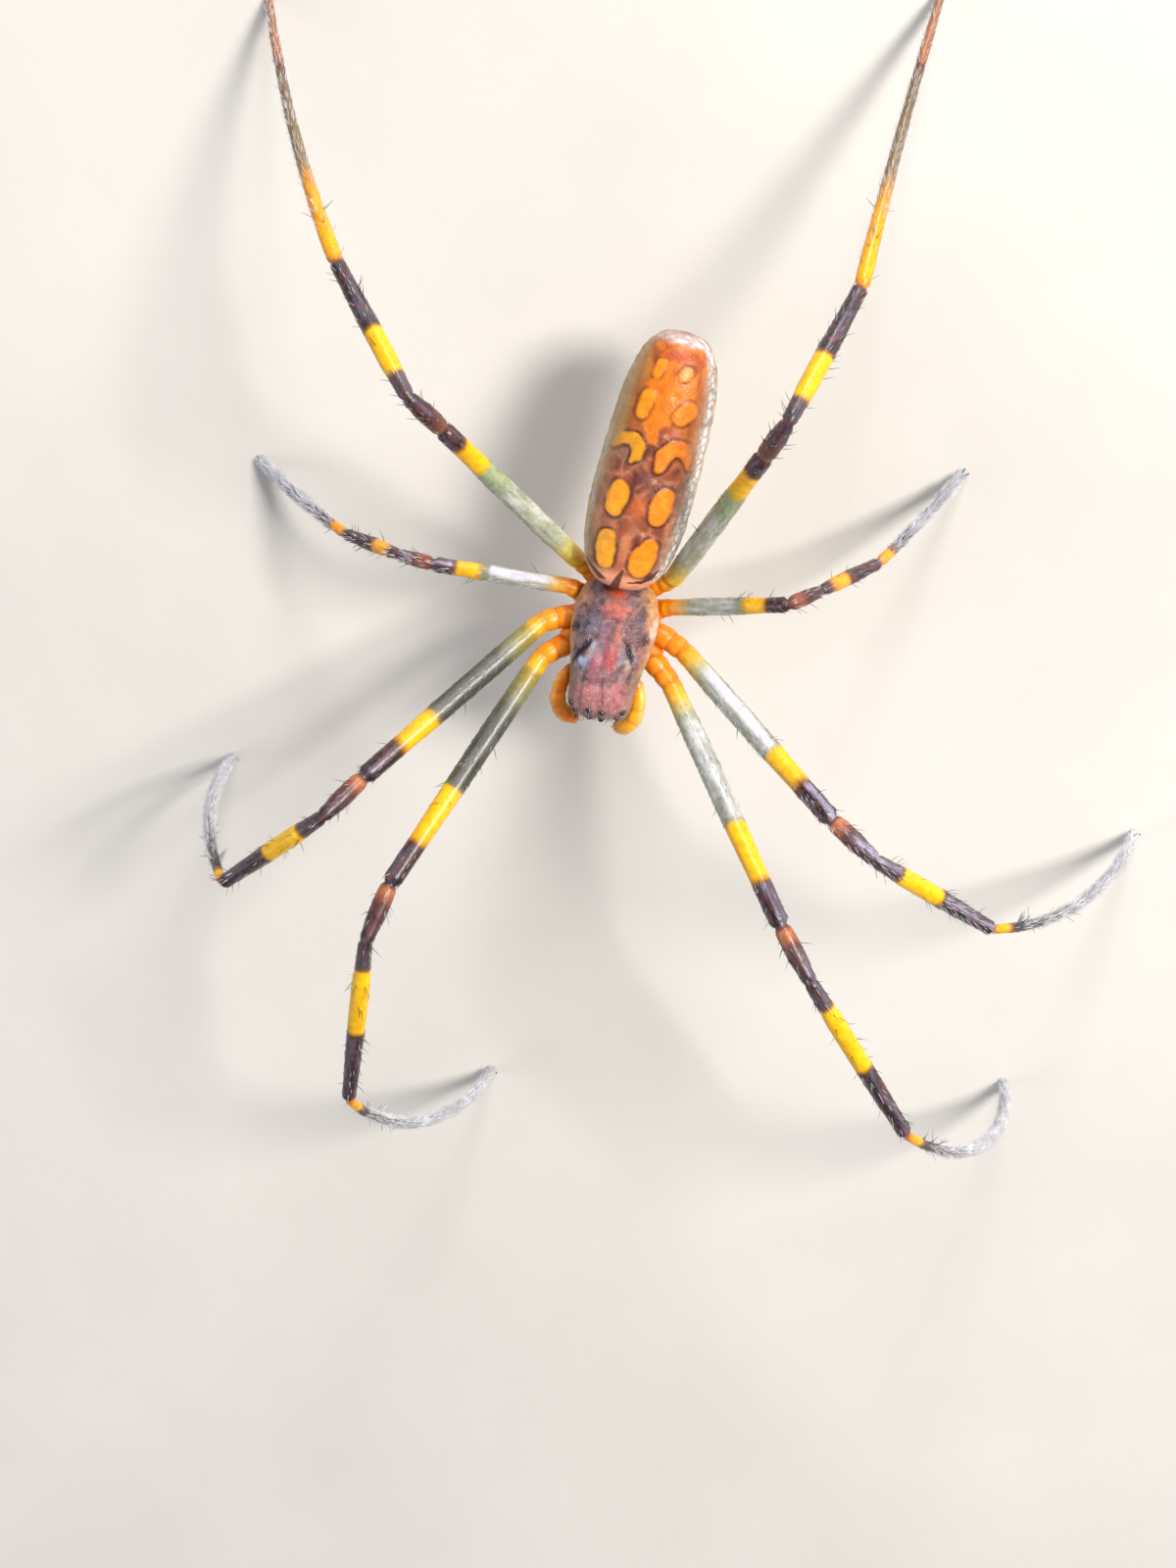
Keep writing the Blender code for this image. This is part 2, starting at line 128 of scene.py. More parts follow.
def cells(points: np.ndarray, size: float, seed: int) -> np.ndarray:
    """How near each point is to the border between two random cells.

    Args:
        points: the places, in millimetres.
        size: about how wide a cell is.
        seed: moves the pattern.

    Returns:
        0 on a border and about 1 in the middle of a cell.
    """
    shift = Vector((seed * 7.31, seed * 3.17, seed * 5.77))
    near = [noise.voronoi(Vector(p) + shift)[0] for p in points / size]
    return np.array([min((d[1] - d[0]) * 2, 1.0) for d in near])


def turned(yaw: float, pitch: float, place: Vector) -> Matrix:
    """The matrix from a body's own frame to the world's, both in millimetres."""
    turn = Matrix.Rotation(yaw * DEGREES, 4, "Z") @ Matrix.Rotation(pitch * DEGREES, 4, "X")
    return Matrix.Translation(place) @ turn


def body_place(x: float, y: float, z: float) -> Vector:
    """A point given from the middle of the prosoma, in the frame whose origin is under the stance."""
    return Vector((x - STANCE_MIDDLE[0], y - STANCE_MIDDLE[1], z + BODY_HEIGHT))


PROSOMA = turned(-6.5, -7.0, body_place(0, 0, 0))
ABDOMEN = turned(-10.5, -8.0, body_place(1.42, 9.65, -0.91))
SPINNERETS = ABDOMEN @ Matrix.Translation((0, 4.55, -1.88)) @ Matrix.Rotation(20 * DEGREES, 4, "X")


def moved(matrix: Matrix, points: np.ndarray) -> np.ndarray:
    """Points put through a matrix, whatever the shape of their array.

    Args:
        matrix: the 4 by 4 matrix.
        points: an array whose last axis is X, Y, Z.

    Returns:
        The moved points, in an array of the same shape.
    """
    m = np.array(matrix)
    return points @ m[:3, :3].T + m[:3, 3]


def aimed(matrix: Matrix, direction: tuple[float, float, float]) -> np.ndarray:
    """A direction turned by a matrix, without its shift."""
    return np.array(matrix.to_3x3() @ Vector(direction))


def add_node(tree: bpy.types.NodeTree, kind: str, inputs: dict | None = None, **settings) -> bpy.types.Node:
    """Adds one node with its settings and its links.

    Args:
        tree: the shader or geometry tree.
        kind: the node's type.
        inputs: socket name or number, to a value or to another node's output.
        settings: the node's own properties.

    Returns:
        The new node.
    """
    node = tree.nodes.new(kind)
    for name, value in settings.items():
        setattr(node, name, value)
    for name, value in (inputs or {}).items():
        if isinstance(value, bpy.types.NodeSocket):
            tree.links.new(value, node.inputs[name])
        else:
            node.inputs[name].default_value = value
    return node


@dataclass(frozen=True)
class Finish:
    """A substance of the body: the values that its shader keeps everywhere, and the size of its grain."""

    name: str
    roughness: float
    colour: str = ""
    grain: float = 0.12
    depth: float = 0.01
    patch: float = 0.5
    dark: float = 0.75
    wax: float = 0.0
    gloss: float = 0.0
    sheen: float = 0.0
    pale: str = ""
    pale_share: float = 0.0

    def surface(self, tree: bpy.types.NodeTree) -> bpy.types.NodeSocket:
        """The base colour: the markings or one colour, darkened and lightened in small patches.

        Args:
            tree: the material's tree.

        Returns:
            The colour output.
        """
        place = add_node(tree, "ShaderNodeTexCoord").outputs["Object"]
        if self.colour:
            plain = add_node(tree, "ShaderNodeRGB").outputs[0]
            plain.default_value = (*linear(self.colour), 1)
        else:
            plain = add_node(tree, "ShaderNodeAttribute", attribute_name="tint").outputs["Color"]
        if self.pale:
            plain = add_node(tree, "ShaderNodeMix", {0: self.pale_share, 6: plain,
                                                     7: (*linear(self.pale), 1)},
                             data_type="RGBA").outputs[2]
        patches = add_node(tree, "ShaderNodeTexNoise", {"Vector": place, "Scale": 1 / (self.patch * MM),
                                                        "Detail": 4.0, "Roughness": 0.6})
        share = add_node(tree, "ShaderNodeMapRange", {"Value": patches.outputs["Fac"], "From Min": 0.35,
                                                      "From Max": 0.65, "To Min": self.dark, "To Max": 1.08})
        shade = add_node(tree, "ShaderNodeVectorMath", {0: plain, "Scale": share.outputs["Result"]},
                         operation="SCALE")
        return shade.outputs["Vector"]

    def relief(self, tree: bpy.types.NodeTree) -> bpy.types.NodeSocket:
        """The grain of the surface as a bumped normal, from noise and small pits."""
        place = add_node(tree, "ShaderNodeTexCoord").outputs["Object"]
        grain = add_node(tree, "ShaderNodeTexNoise", {"Vector": place, "Scale": 1 / (self.grain * MM),
                                                      "Detail": 3.0})
        pits = add_node(tree, "ShaderNodeTexVoronoi", {"Vector": place, "Scale": 1 / (self.grain * MM)})
        height = add_node(tree, "ShaderNodeMath", {0: grain.outputs["Fac"], 1: pits.outputs["Distance"]},
                          operation="ADD")
        raised = add_node(tree, "ShaderNodeBump", {"Height": height.outputs[0], "Strength": 1.0,
                                                   "Distance": self.depth * MM})
        return raised.outputs["Normal"]

    def material(self) -> bpy.types.Material:
        """Makes the finish's material."""
        made = bpy.data.materials.new(self.name)
        made.use_nodes = True
        tree = made.node_tree
        shader = tree.nodes["Principled BSDF"]
        tree.links.new(self.surface(tree), shader.inputs["Base Color"])
        tree.links.new(self.relief(tree), shader.inputs["Normal"])
        shader.inputs["Roughness"].default_value = self.roughness
        shader.inputs["Subsurface Weight"].default_value = self.wax
        shader.inputs["Subsurface Radius"].default_value = (1.0, 0.45, 0.2)
        shader.inputs["Subsurface Scale"].default_value = 0.3 * MM
        shader.inputs["Coat Weight"].default_value = self.gloss
        shader.inputs["Coat Roughness"].default_value = 0.22
        shader.inputs["Sheen Weight"].default_value = self.sheen
        shader.inputs["Sheen Roughness"].default_value = 0.4
        return made


class Finishes:
    """Every material of the spider, made once."""

    def __init__(self) -> None:
        """Makes the materials."""
        # Waxy cuticle over pale pigment: the spots glow a little and the ridges catch a soft shine.
        self.abdomen = Finish("Abdomen cuticle", 0.46, grain=0.14, depth=0.016, patch=0.5, dark=0.84,
                              wax=0.1, gloss=0.1).material()
        # Thin tanned cuticle: grey-green, yellow or brown, with a long soft highlight along the leg.
        self.leg = Finish("Leg cuticle", 0.36, grain=0.09, depth=0.01, patch=0.35, dark=0.8, wax=0.12,
                          gloss=0.2).material()
        # Tanned cuticle under a felt of fine hair: matt, with the markings showing through.
        self.carapace = Finish("Carapace cuticle", 0.5, grain=0.1, depth=0.02, patch=0.3, dark=0.68,
                               wax=0.08, sheen=0.15).material()
        # Soft orange cuticle that light gets into, at the palps.
        self.palp = Finish("Palp cuticle", 0.4, grain=0.09, depth=0.008, patch=0.3, dark=0.85, wax=0.35,
                           gloss=0.15).material()
        # Thick dark chitin: nearly black, with a hard narrow highlight.
        self.jaw = Finish("Jaw chitin", 0.26, grain=0.12, depth=0.008, patch=0.4, dark=0.7,
                          gloss=0.5).material()
        # Chitin worn smooth: black at the point and red-brown at the root.
        self.fang = Finish("Fang chitin", 0.16, colour="#240C08", grain=0.2, depth=0.003, gloss=0.8).material()
        # Clear cornea over a black cup: a wet black bead.
        self.eye = Finish("Eye cornea", 0.05, colour="#050406", grain=0.3, depth=0.0005, gloss=1.0).material()
        # Matt plates of the underside.
        self.underside = Finish("Underside cuticle", 0.48, grain=0.12, depth=0.014, patch=0.35, dark=0.7,
                                wax=0.08).material()
        # Hair with air in it: white to silver.
        self.silver = Finish("Silver hair", 0.3, colour="#F2F3FA", grain=0.1, depth=0.001, patch=0.9,
                             dark=0.7, sheen=0.3).material()
        # Fine hair of the colour below it, with a silver gleam.
        self.down = Finish("Body down", 0.34, grain=0.1, depth=0.001, patch=0.6, dark=0.75, sheen=0.2,
                           pale="#B4B6C4", pale_share=0.28).material()
        # Felt of flat hair over the shield, of the colour below it and greyer.
        self.felt = Finish("Shield felt", 0.38, grain=0.1, depth=0.001, patch=0.6, dark=0.8, sheen=0.2,
                           pale="#B8AEBC", pale_share=0.32).material()
        # Stiff black setae.
        self.bristle = Finish("Black bristle", 0.3, colour="#120C0E", grain=0.1, depth=0.001).material()
        # Pale spines with light in them.
        self.spine = Finish("Pale spine", 0.3, colour="#C2BECB", grain=0.1, depth=0.001).material()


class Skin:
    """A closed skin over a row of rings: its shape, its markings and the lie of its coat."""

    def __init__(self, rings: np.ndarray) -> None:
        """Keeps the rings and closes both ends with a point.

        Args:
            rings: world millimetres, as rows by columns by three.
        """
        self.rows, self.columns = rings.shape[:2]
        self.points = self.filled(rings)
        self.values: dict[str, np.ndarray] = {}

    def filled(self, values: np.ndarray) -> np.ndarray:
        """Values of the ring points, with the two end points' values after them."""
        flat = values.reshape(self.rows * self.columns, *values.shape[2:])
        return np.concatenate([flat, [values[0].mean(0)], [values[-1].mean(0)]])

    def faces(self) -> tuple[list[list[int]], np.ndarray]:
        """The faces, outward, and the unwrap of each of their corners.

        Returns:
            The faces as lists of vertex numbers, and the corners' places in the unwrap.
        """
        rows, columns = self.rows, self.columns
        r, c = np.meshgrid(np.arange(rows - 1), np.arange(columns), indexing="ij")
        after = (c + 1) % columns
        quads = np.stack([r * columns + c, r * columns + after, (r + 1) * columns + after,
                          (r + 1) * columns + c], -1).reshape(-1, 4)
        spots = np.stack([np.stack([r, c], -1), np.stack([r, c + 1], -1), np.stack([r + 1, c + 1], -1),
                          np.stack([r + 1, c], -1)], 2).reshape(-1, 2)
        i = np.arange(columns)
        j = (i + 1) % columns
        first, last = rows * columns, rows * columns + 1
        near = np.stack([np.full(columns, first), j, i], -1)
        far = np.stack([np.full(columns, last), last - 1 - columns + i, last - 1 - columns + j], -1)
        near_spots = np.stack([np.stack([0 * i, i + 0.5], -1), np.stack([0 * i, i + 1], -1),
                               np.stack([0 * i, i], -1)], 1).reshape(-1, 2)
        end = 0 * i + rows - 1
        far_spots = np.stack([np.stack([end, i + 0.5], -1), np.stack([end, i], -1),
                              np.stack([end, i + 1], -1)], 1).reshape(-1, 2)
        p = self.points
        volume = np.einsum("ij,ij->i", p[quads[:, 0]], np.cross(p[quads[:, 1]], p[quads[:, 2]])).sum()
        volume += np.einsum("ij,ij->i", p[quads[:, 0]], np.cross(p[quads[:, 2]], p[quads[:, 3]])).sum()
        places = [spots.reshape(-1, 4, 2), near_spots.reshape(-1, 3, 2), far_spots.reshape(-1, 3, 2)]
        groups = [quads, near, far]
        if volume < 0:
            groups = [group[:, ::-1] for group in groups]
            places = [place[:, ::-1] for place in places]
        unwrap = np.concatenate([place.reshape(-1, 2) for place in places]) / (rows - 1, columns)
        return [face for group in groups for face in group.tolist()], 0.02 + 0.96 * unwrap

    def build(self, name: str, material: bpy.types.Material) -> bpy.types.Object:
        """Makes the skin's object.

        Args:
            name: the piece's name.
            material: its finish.

        Returns:
            The object, at the origin, in metres.
        """
        faces, unwrap = self.faces()
        mesh = bpy.data.meshes.new(name)
        mesh.from_pydata((self.points * MM).tolist(), [], faces)
        layer = mesh.uv_layers.new(name="unwrap")
        layer.data.foreach_set("uv", unwrap.ravel())
        for key, value in self.values.items():
            kind, field = ("FLOAT", "value") if value.ndim == 1 else ("FLOAT_VECTOR", "vector")
            if key == "tint":
                kind, field = "FLOAT_COLOR", "color"
                value = np.concatenate([value, np.ones((len(value), 1))], 1)
            attribute = mesh.attributes.new(key, kind, "POINT")
            attribute.data.foreach_set(field, value.astype(np.float32).ravel())
        mesh.shade_smooth()
        mesh.materials.append(material)
        made = bpy.data.objects.new(name, mesh)
        bpy.context.scene.collection.objects.link(made)
        return made


class Paint:
    """The colour of every vertex, laid on in layers."""

    def __init__(self, count: int, ground: str) -> None:
        """Starts from one colour.

        Args:
            count: the number of vertices.
            ground: the colour under all others.
        """
        self.tint = np.tile(linear(ground), (count, 1))

    def lay(self, colour: str, cover: np.ndarray) -> "Paint":
        """Lays a colour over the rest where cover is above 0, and returns the paint."""
        self.tint += (linear(colour) - self.tint) * np.clip(cover, 0, 1)[:, None]
        return self


class Limb:
    """A round skin along a bent centreline: a leg, a palp, a jaw, a fang or a cone."""

    def __init__(self, route: np.ndarray, girths: np.ndarray, marks: np.ndarray | None = None,
                 step: float = 0.12, rounding: float = 0.2, sides: int = 24,
                 domes: tuple[float, float] = (0.2, 0.2)) -> None:
        """Lays the rings along the route.

        Args:
            route: the corner points, in world millimetres.
            girths: half the width at each mark.
            marks: the distances along the route that the girths belong to, or None for the corner points.
            step: the spacing of the rings.
            rounding: how far each corner is rounded.
            sides: points in a ring.
            domes: the length over which each end is rounded off.
        """
        along = np.concatenate([[0], np.cumsum(np.linalg.norm(np.diff(route, axis=0), axis=1))])
        self.length = along[-1]
        fine = np.linspace(0, self.length, max(int(self.length / 0.03), 24) + 1)
        line = np.stack([np.interp(fine, along, route[:, i]) for i in range(3)], 1)
        line = self.softened(line, max(rounding / (fine[1] - fine[0]), 0.5))
        curve = 1 - np.cos(np.linspace(10, 90, 9) * DEGREES)
        middle = np.arange(domes[0] + step, self.length - domes[1], step)
        self.at = np.concatenate([domes[0] * curve, middle, self.length - (domes[1] * curve)[::-1]])
        self.line = np.stack([np.interp(self.at, fine, line[:, i]) for i in range(3)], 1)
        self.girth = np.interp(self.at, along if marks is None else marks, girths)
        self.domes = domes
        self.sides = sides
        self.frames()

    @staticmethod
    def softened(line: np.ndarray, spread: float) -> np.ndarray:
        """A line with its corners rounded by a bell-shaped average, its ends kept."""
        reach = min(int(3 * spread) + 1, len(line) - 2)
        bell = np.exp(-0.5 * (np.arange(-reach, reach + 1) / spread) ** 2)
        head = 2 * line[0] - line[reach:0:-1]
        tail = 2 * line[-1] - line[-2:-reach - 2:-1]
        padded = np.concatenate([head, line, tail])
        return np.stack([np.convolve(padded[:, i], bell / bell.sum(), "valid") for i in range(3)], 1)

    def frames(self) -> None:
        """Carries one sideways direction along the line without twisting it."""
        self.ahead = np.gradient(self.line, axis=0)
        self.ahead /= np.linalg.norm(self.ahead, axis=1)[:, None]
        over = np.array([0.0, 0.0, 1.0])
        if abs(self.ahead[0, 2]) > 0.95:
            over = np.array([0.0, -1.0, 0.0])
        self.over = np.empty_like(self.ahead)
        for i, ahead in enumerate(self.ahead):
            over = over - ahead * (over @ ahead)
            over = over / np.linalg.norm(over)
            self.over[i] = over
        self.across = np.cross(self.ahead, self.over)

    def rounded_ends(self) -> np.ndarray:
        """The share of its girth that the limb keeps near its two ends."""
        start = np.clip(self.at / self.domes[0], 0, 1)
        end = np.clip((self.length - self.at) / self.domes[1], 0, 1)
        return np.sqrt(1 - (1 - start) ** 2) * np.sqrt(1 - (1 - end) ** 2)

    def skin(self, flat: float = 1.0) -> Skin:
        """The limb's skin.

        Args:
            flat: the height of a ring as a share of its width.

        Returns:
            The skin, with the lie of its coat along the limb.
        """
        angles = np.linspace(0, 2 * math.pi, self.sides, endpoint=False)
        girth = (self.girth * self.rounded_ends())[:, None, None]
        out = flat * np.cos(angles)[None, :, None] * self.over[:, None]
        out = out + np.sin(angles)[None, :, None] * self.across[:, None]
        made = Skin(self.line[:, None] + girth * out)
        made.values["flow"] = made.filled(np.repeat(self.ahead[:, None], self.sides, 1))
        self.facing = made.filled(np.repeat(np.cos(angles)[None, :], len(self.at), 0))
        self.siding = made.filled(np.repeat(np.sin(angles)[None, :], len(self.at), 0))
        return made

    def spread(self, skin: Skin, values: np.ndarray) -> np.ndarray:
        """One value for each ring, given to all the points of that ring."""
        return skin.filled(np.repeat(values[:, None], self.sides, 1))


@dataclass(frozen=True)
class Hair:
    """One kind of hair: how long, thick, dense and flat it lies, and how it bends."""

    name: str
    length: float
    girth: float
    density: float
    lean: float
    bend: float
    jitter: float
    material: bpy.types.Material

    def strand(self) -> bpy.types.Object:
        """One curved three-sided hair of unit length along Z, bent towards X, thin at its tip."""
        half = self.girth / self.length / 2
        heights, widths = (0.0, 0.4, 0.75), (1.0, 0.85, 0.5)
        points = [(half * w * math.cos(a) + self.bend * h * h, half * w * math.sin(a), h)
                  for h, w in zip(heights, widths) for a in (0, 2 * math.pi / 3, 4 * math.pi / 3)]
        points.append((self.bend, 0, 1))
        faces = [(2, 1, 0)]
        for ring in (0, 3):
            faces += [(ring + i, ring + (i + 1) % 3, ring + 3 + (i + 1) % 3, ring + 3 + i) for i in range(3)]
        faces += [(6 + i, 6 + (i + 1) % 3, 9) for i in range(3)]
        mesh = bpy.data.meshes.new(self.name + "_strand")
        mesh.from_pydata(points, [], faces)
        layer = mesh.uv_layers.new(name=BAKE_MAP)
        for loop in mesh.loops:
            x, y, z = points[loop.vertex_index]
            layer.data[loop.index].uv = (z, 0.5 + 0.5 * y / half)
        mesh.shade_smooth()
        made = bpy.data.objects.new(self.name + "_strand", mesh)
        bpy.context.scene.collection.objects.link(made)
        return made


class HairTree:
    """The geometry tree that grows one kind of hair over a skin."""

    SOCKETS = (("Cover", "NodeSocketString"), ("Density", "NodeSocketFloat"), ("Length", "NodeSocketFloat"),
               ("Lean", "NodeSocketFloat"), ("Jitter", "NodeSocketFloat"), ("Seed", "NodeSocketInt"),
               ("Strand", "NodeSocketObject"), ("Finish", "NodeSocketMaterial"))

    def __init__(self) -> None:
        """Builds the tree."""
        self.tree = bpy.data.node_groups.new("Hair over a skin", "GeometryNodeTree")
        face = self.tree.interface
        face.new_socket("Skin", in_out="INPUT", socket_type="NodeSocketGeometry")
        for name, kind in self.SOCKETS:
            face.new_socket(name, in_out="INPUT", socket_type=kind)
        face.new_socket("Hair", in_out="OUTPUT", socket_type="NodeSocketGeometry")
        self.identifiers = {item.name: item.identifier for item in face.items_tree}
        self.link()

    def link(self) -> None:
        """Links the nodes: scatter, aim, place, realise, unwrap and finish."""
        add = partial(add_node, self.tree)
        given = add("NodeGroupInput").outputs
        cover = add("GeometryNodeInputNamedAttribute", {"Name": given["Cover"]}, data_type="FLOAT")
        density = add("ShaderNodeMath", {0: cover.outputs["Attribute"], 1: given["Density"]},
                      operation="MULTIPLY")
        roots = add("GeometryNodeDistributePointsOnFaces", {"Mesh": given["Skin"],
                                                            "Density": density.outputs[0],
                                                            "Seed": given["Seed"]})
        flow = add("GeometryNodeInputNamedAttribute", {"Name": "flow"}, data_type="FLOAT_VECTOR")
        aim = add("ShaderNodeMix", {0: given["Lean"], 4: roots.outputs["Normal"],
                                    5: flow.outputs["Attribute"]}, data_type="VECTOR")
        stray = add("FunctionNodeRandomValue", {0: (-1, -1, -1), 1: (1, 1, 1), "Seed": given["Seed"]},
                    data_type="FLOAT_VECTOR")
        swing = add("ShaderNodeVectorMath", {0: stray.outputs[0], "Scale": given["Jitter"]},
                    operation="SCALE")
        aim = add("ShaderNodeVectorMath", {0: aim.outputs[1], 1: swing.outputs["Vector"]}, operation="ADD")
        turn = add("FunctionNodeAxesToRotation", {"Primary Axis": aim.outputs["Vector"],
                                                  "Secondary Axis": flow.outputs["Attribute"]},
                   primary_axis="Z", secondary_axis="X")
        size = add("FunctionNodeRandomValue", {2: 0.7, 3: 1.25, "Seed": given["Seed"]}, data_type="FLOAT")
        size = add("ShaderNodeMath", {0: size.outputs[1], 1: given["Length"]}, operation="MULTIPLY")
        strand = add("GeometryNodeObjectInfo", {"Object": given["Strand"]})
        hairs = add("GeometryNodeInstanceOnPoints", {"Points": roots.outputs["Points"],
                                                     "Instance": strand.outputs["Geometry"],
                                                     "Rotation": turn.outputs["Rotation"],
                                                     "Scale": size.outputs[0]})
        solid = add("GeometryNodeRealizeInstances", {"Geometry": hairs.outputs["Instances"]})
        root = add("GeometryNodeInputNamedAttribute", {"Name": "unwrap"}, data_type="FLOAT_VECTOR")
        own = add("GeometryNodeInputNamedAttribute", {"Name": BAKE_MAP}, data_type="FLOAT_VECTOR")
        patch = add("ShaderNodeVectorMath", {0: own.outputs["Attribute"], "Scale": TUFT_PATCH},
                    operation="SCALE")
        place = add("ShaderNodeVectorMath", {0: root.outputs["Attribute"], 1: patch.outputs["Vector"]},
                    operation="ADD")
        mapped = add("GeometryNodeStoreNamedAttribute", {"Geometry": solid.outputs["Geometry"],
                                                         "Name": BAKE_MAP, "Value": place.outputs["Vector"]},
                     data_type="FLOAT2", domain="CORNER")
        dressed = add("GeometryNodeSetMaterial", {"Geometry": mapped.outputs["Geometry"],
                                                  "Material": given["Finish"]})
        add("NodeGroupOutput", {"Hair": dressed.outputs["Geometry"]})


class Coat:
    """Grows hair over the skins."""

    FLOOR_CLEARANCE = 0.004

    def __init__(self) -> None:
        """Starts with one tree for all kinds of hair."""
        self.tree = HairTree()
        self.seed = 1

    def grow(self, skin: bpy.types.Object, hair: Hair, cover: str) -> bpy.types.Object:
        """Grows one kind of hair on a skin, as a plain mesh.

        Args:
            skin: the skin's object.
            hair: the kind of hair.
            cover: the skin's attribute that says how dense the hair is.

        Returns:
            The hair's object.
        """
        self.seed += 1
        strand = hair.strand()
        bed = skin.copy()
        bpy.context.scene.collection.objects.link(bed)
        modifier = bed.modifiers.new("hair", "NODES")
        modifier.node_group = self.tree.tree
        given = {"Cover": cover, "Density": hair.density / MM ** 2, "Length": hair.length * MM,
                 "Lean": hair.lean, "Jitter": hair.jitter, "Seed": self.seed, "Strand": strand,
                 "Finish": hair.material}
        for name, value in given.items():
            modifier[self.tree.identifiers[name]] = value
        bpy.context.view_layer.update()
        mesh = bpy.data.meshes.new_from_object(bed.evaluated_get(bpy.context.evaluated_depsgraph_get()))
        bpy.data.objects.remove(bed)
        bpy.data.objects.remove(strand)
        name = f"{hair.name}_{skin.name}"
        mesh.name = name
        self.lift(mesh)
        for key in [a.name for a in mesh.attributes if a.name in ("flow", "unwrap") or "cover" in a.name]:
            mesh.attributes.remove(mesh.attributes[key])
        made = bpy.data.objects.new(name, mesh)
        bpy.context.scene.collection.objects.link(made)
        log.info("%s: %d faces", name, len(mesh.polygons))
        return made

    def lift(self, mesh: bpy.types.Mesh) -> None:
        """Keeps the hair above the floor."""
        points = np.empty(len(mesh.vertices) * 3, np.float32)
        mesh.vertices.foreach_get("co", points)
        points[2::3] = np.maximum(points[2::3], self.FLOOR_CLEARANCE * MM)
        mesh.vertices.foreach_set("co", points)
        mesh.update()


@dataclass(frozen=True)
class LegSizes:
    """The lengths of one pair's leg segments, and half their widths over the hair."""

    femur: float
    patella: float
    tibia: float
    foot: float
    femur_girth: float
    patella_girth: float
    tibia_girth: float
    heel_girth: float
    tuft_girth: float
    tip_girth: float
    coxa_girth: float
    hip: tuple[float, float]
    socket: tuple[float, float]


@dataclass(frozen=True)
class LegPose:
    """Whole degrees: compass from +X, and rise above level, of each stretch in turn."""

    femur: tuple[int, int]
    patella_rise: int
    tibia: tuple[int, int]
    heel: tuple[int, int]
    tip: tuple[int, int]


LEG_SIZES = {
    1: LegSizes(13.8, 3.1, 10.7, 16.6, 0.62, 0.52, 0.52, 0.30, 0.42, 0.28, 0.62, (3.31, -1.45), (1.75, -0.25)),
    2: LegSizes(12.1, 2.9, 8.7, 13.6, 0.62, 0.52, 0.52, 0.30, 0.42, 0.28, 0.62, (3.61, 0.34), (1.85, 0.95)),
    3: LegSizes(6.9, 2.0, 4.1, 7.6, 0.50, 0.42, 0.42, 0.33, 0.34, 0.27, 0.53, (2.6, 2.4), (1.65, 1.9)),
    4: LegSizes(12.2, 2.7, 8.0, 16.0, 0.60, 0.52, 0.52, 0.45, 0.36, 0.28, 0.53, (2.35, 3.75), (1.1, 2.85)),
}

LEG_POSES = {
    (Side.LEFT, 1): LegPose((-52, 35), 14, (-59, -11), (-48, -33), (-18, -99)),
    (Side.LEFT, 2): LegPose((-32, 35), 11, (-39, -27), (-11, -34), (41, -79)),
    (Side.LEFT, 3): LegPose((17, 25), -42, (14, -47), (37, -49), (45, -48)),
    (Side.LEFT, 4): LegPose((63, 34), 28, (64, -43), (82, -40), (78, -37)),
    (Side.RIGHT, 1): LegPose((-121, 33), 25, (-96, -14), (-69, -39), (-1, -86)),
    (Side.RIGHT, 2): LegPose((-139, 34), 40, (-135, -22), (156, -60), (147, -96)),
    (Side.RIGHT, 3): LegPose((175, 4), -21, (181, -37), (166, -39), (156, -38)),
    (Side.RIGHT, 4): LegPose((126, 33), 30, (132, -33), (128, -40), (113, -45)),
}

HIP_LEVEL = -0.9
COXA_LEVEL = -1.35
COXA_SAG = 0.12
FOOT_STEPS = 9
STEEPEST_DIP = 15.0
HALVINGS = 40

# Stations along a leg: coxa 0 to 1, femur to 2, patella to 3, tibia to 4, foot to 5.
LONG_LEG_BANDS = (
    (0.0, "#D87008"), (0.25, "#F68C06"), (0.58, "#FF960A"), (0.63, "#DC7408"), (0.69, "#FF960A"),
    (0.92, "#FFA010"), (1.0, "#F08C10"), (1.03, "#FFAA1C"), (1.06, "#F4BE34"), (1.1, "#D4BC66"),
    (1.16, "#AAB092"), (1.3, "#9AA48E"), (1.57, "#8E9880"), (1.58, "#9A8A20"), (1.59, "#F5B800"),
    (1.605, "#FFC400"), (1.8, "#FFBE00"), (1.815, "#E09A08"), (1.835, "#4A2418"), (1.86, "#2C161C"),
    (1.985, "#1C0E12"), (2.02, "#2E1618"), (2.06, "#8A4A30"), (2.1, "#B8703E"), (2.22, "#A86040"),
    (2.36, "#5E3230"), (2.8, "#40262A"), (3.0, "#201416"), (3.04, "#4E3A3C"), (3.125, "#4E3E40"),
    (3.14, "#9A6C18"), (3.15, "#FFC200"), (3.17, "#FFC800"), (3.56, "#FFC400"), (3.575, "#D89808"),
    (3.59, "#40281E"), (3.62, "#30201F"), (3.9, "#2E1C20"), (3.985, "#341C1E"), (4.0, "#C86A18"),
    (4.012, "#F5A010"), (4.058, "#FFBE10"), (4.072, "#B07C36"), (4.088, "#50484A"), (4.3, "#66645F"),
    (4.6, "#7C7E8C"), (5.0, "#8C8E9C"),
)
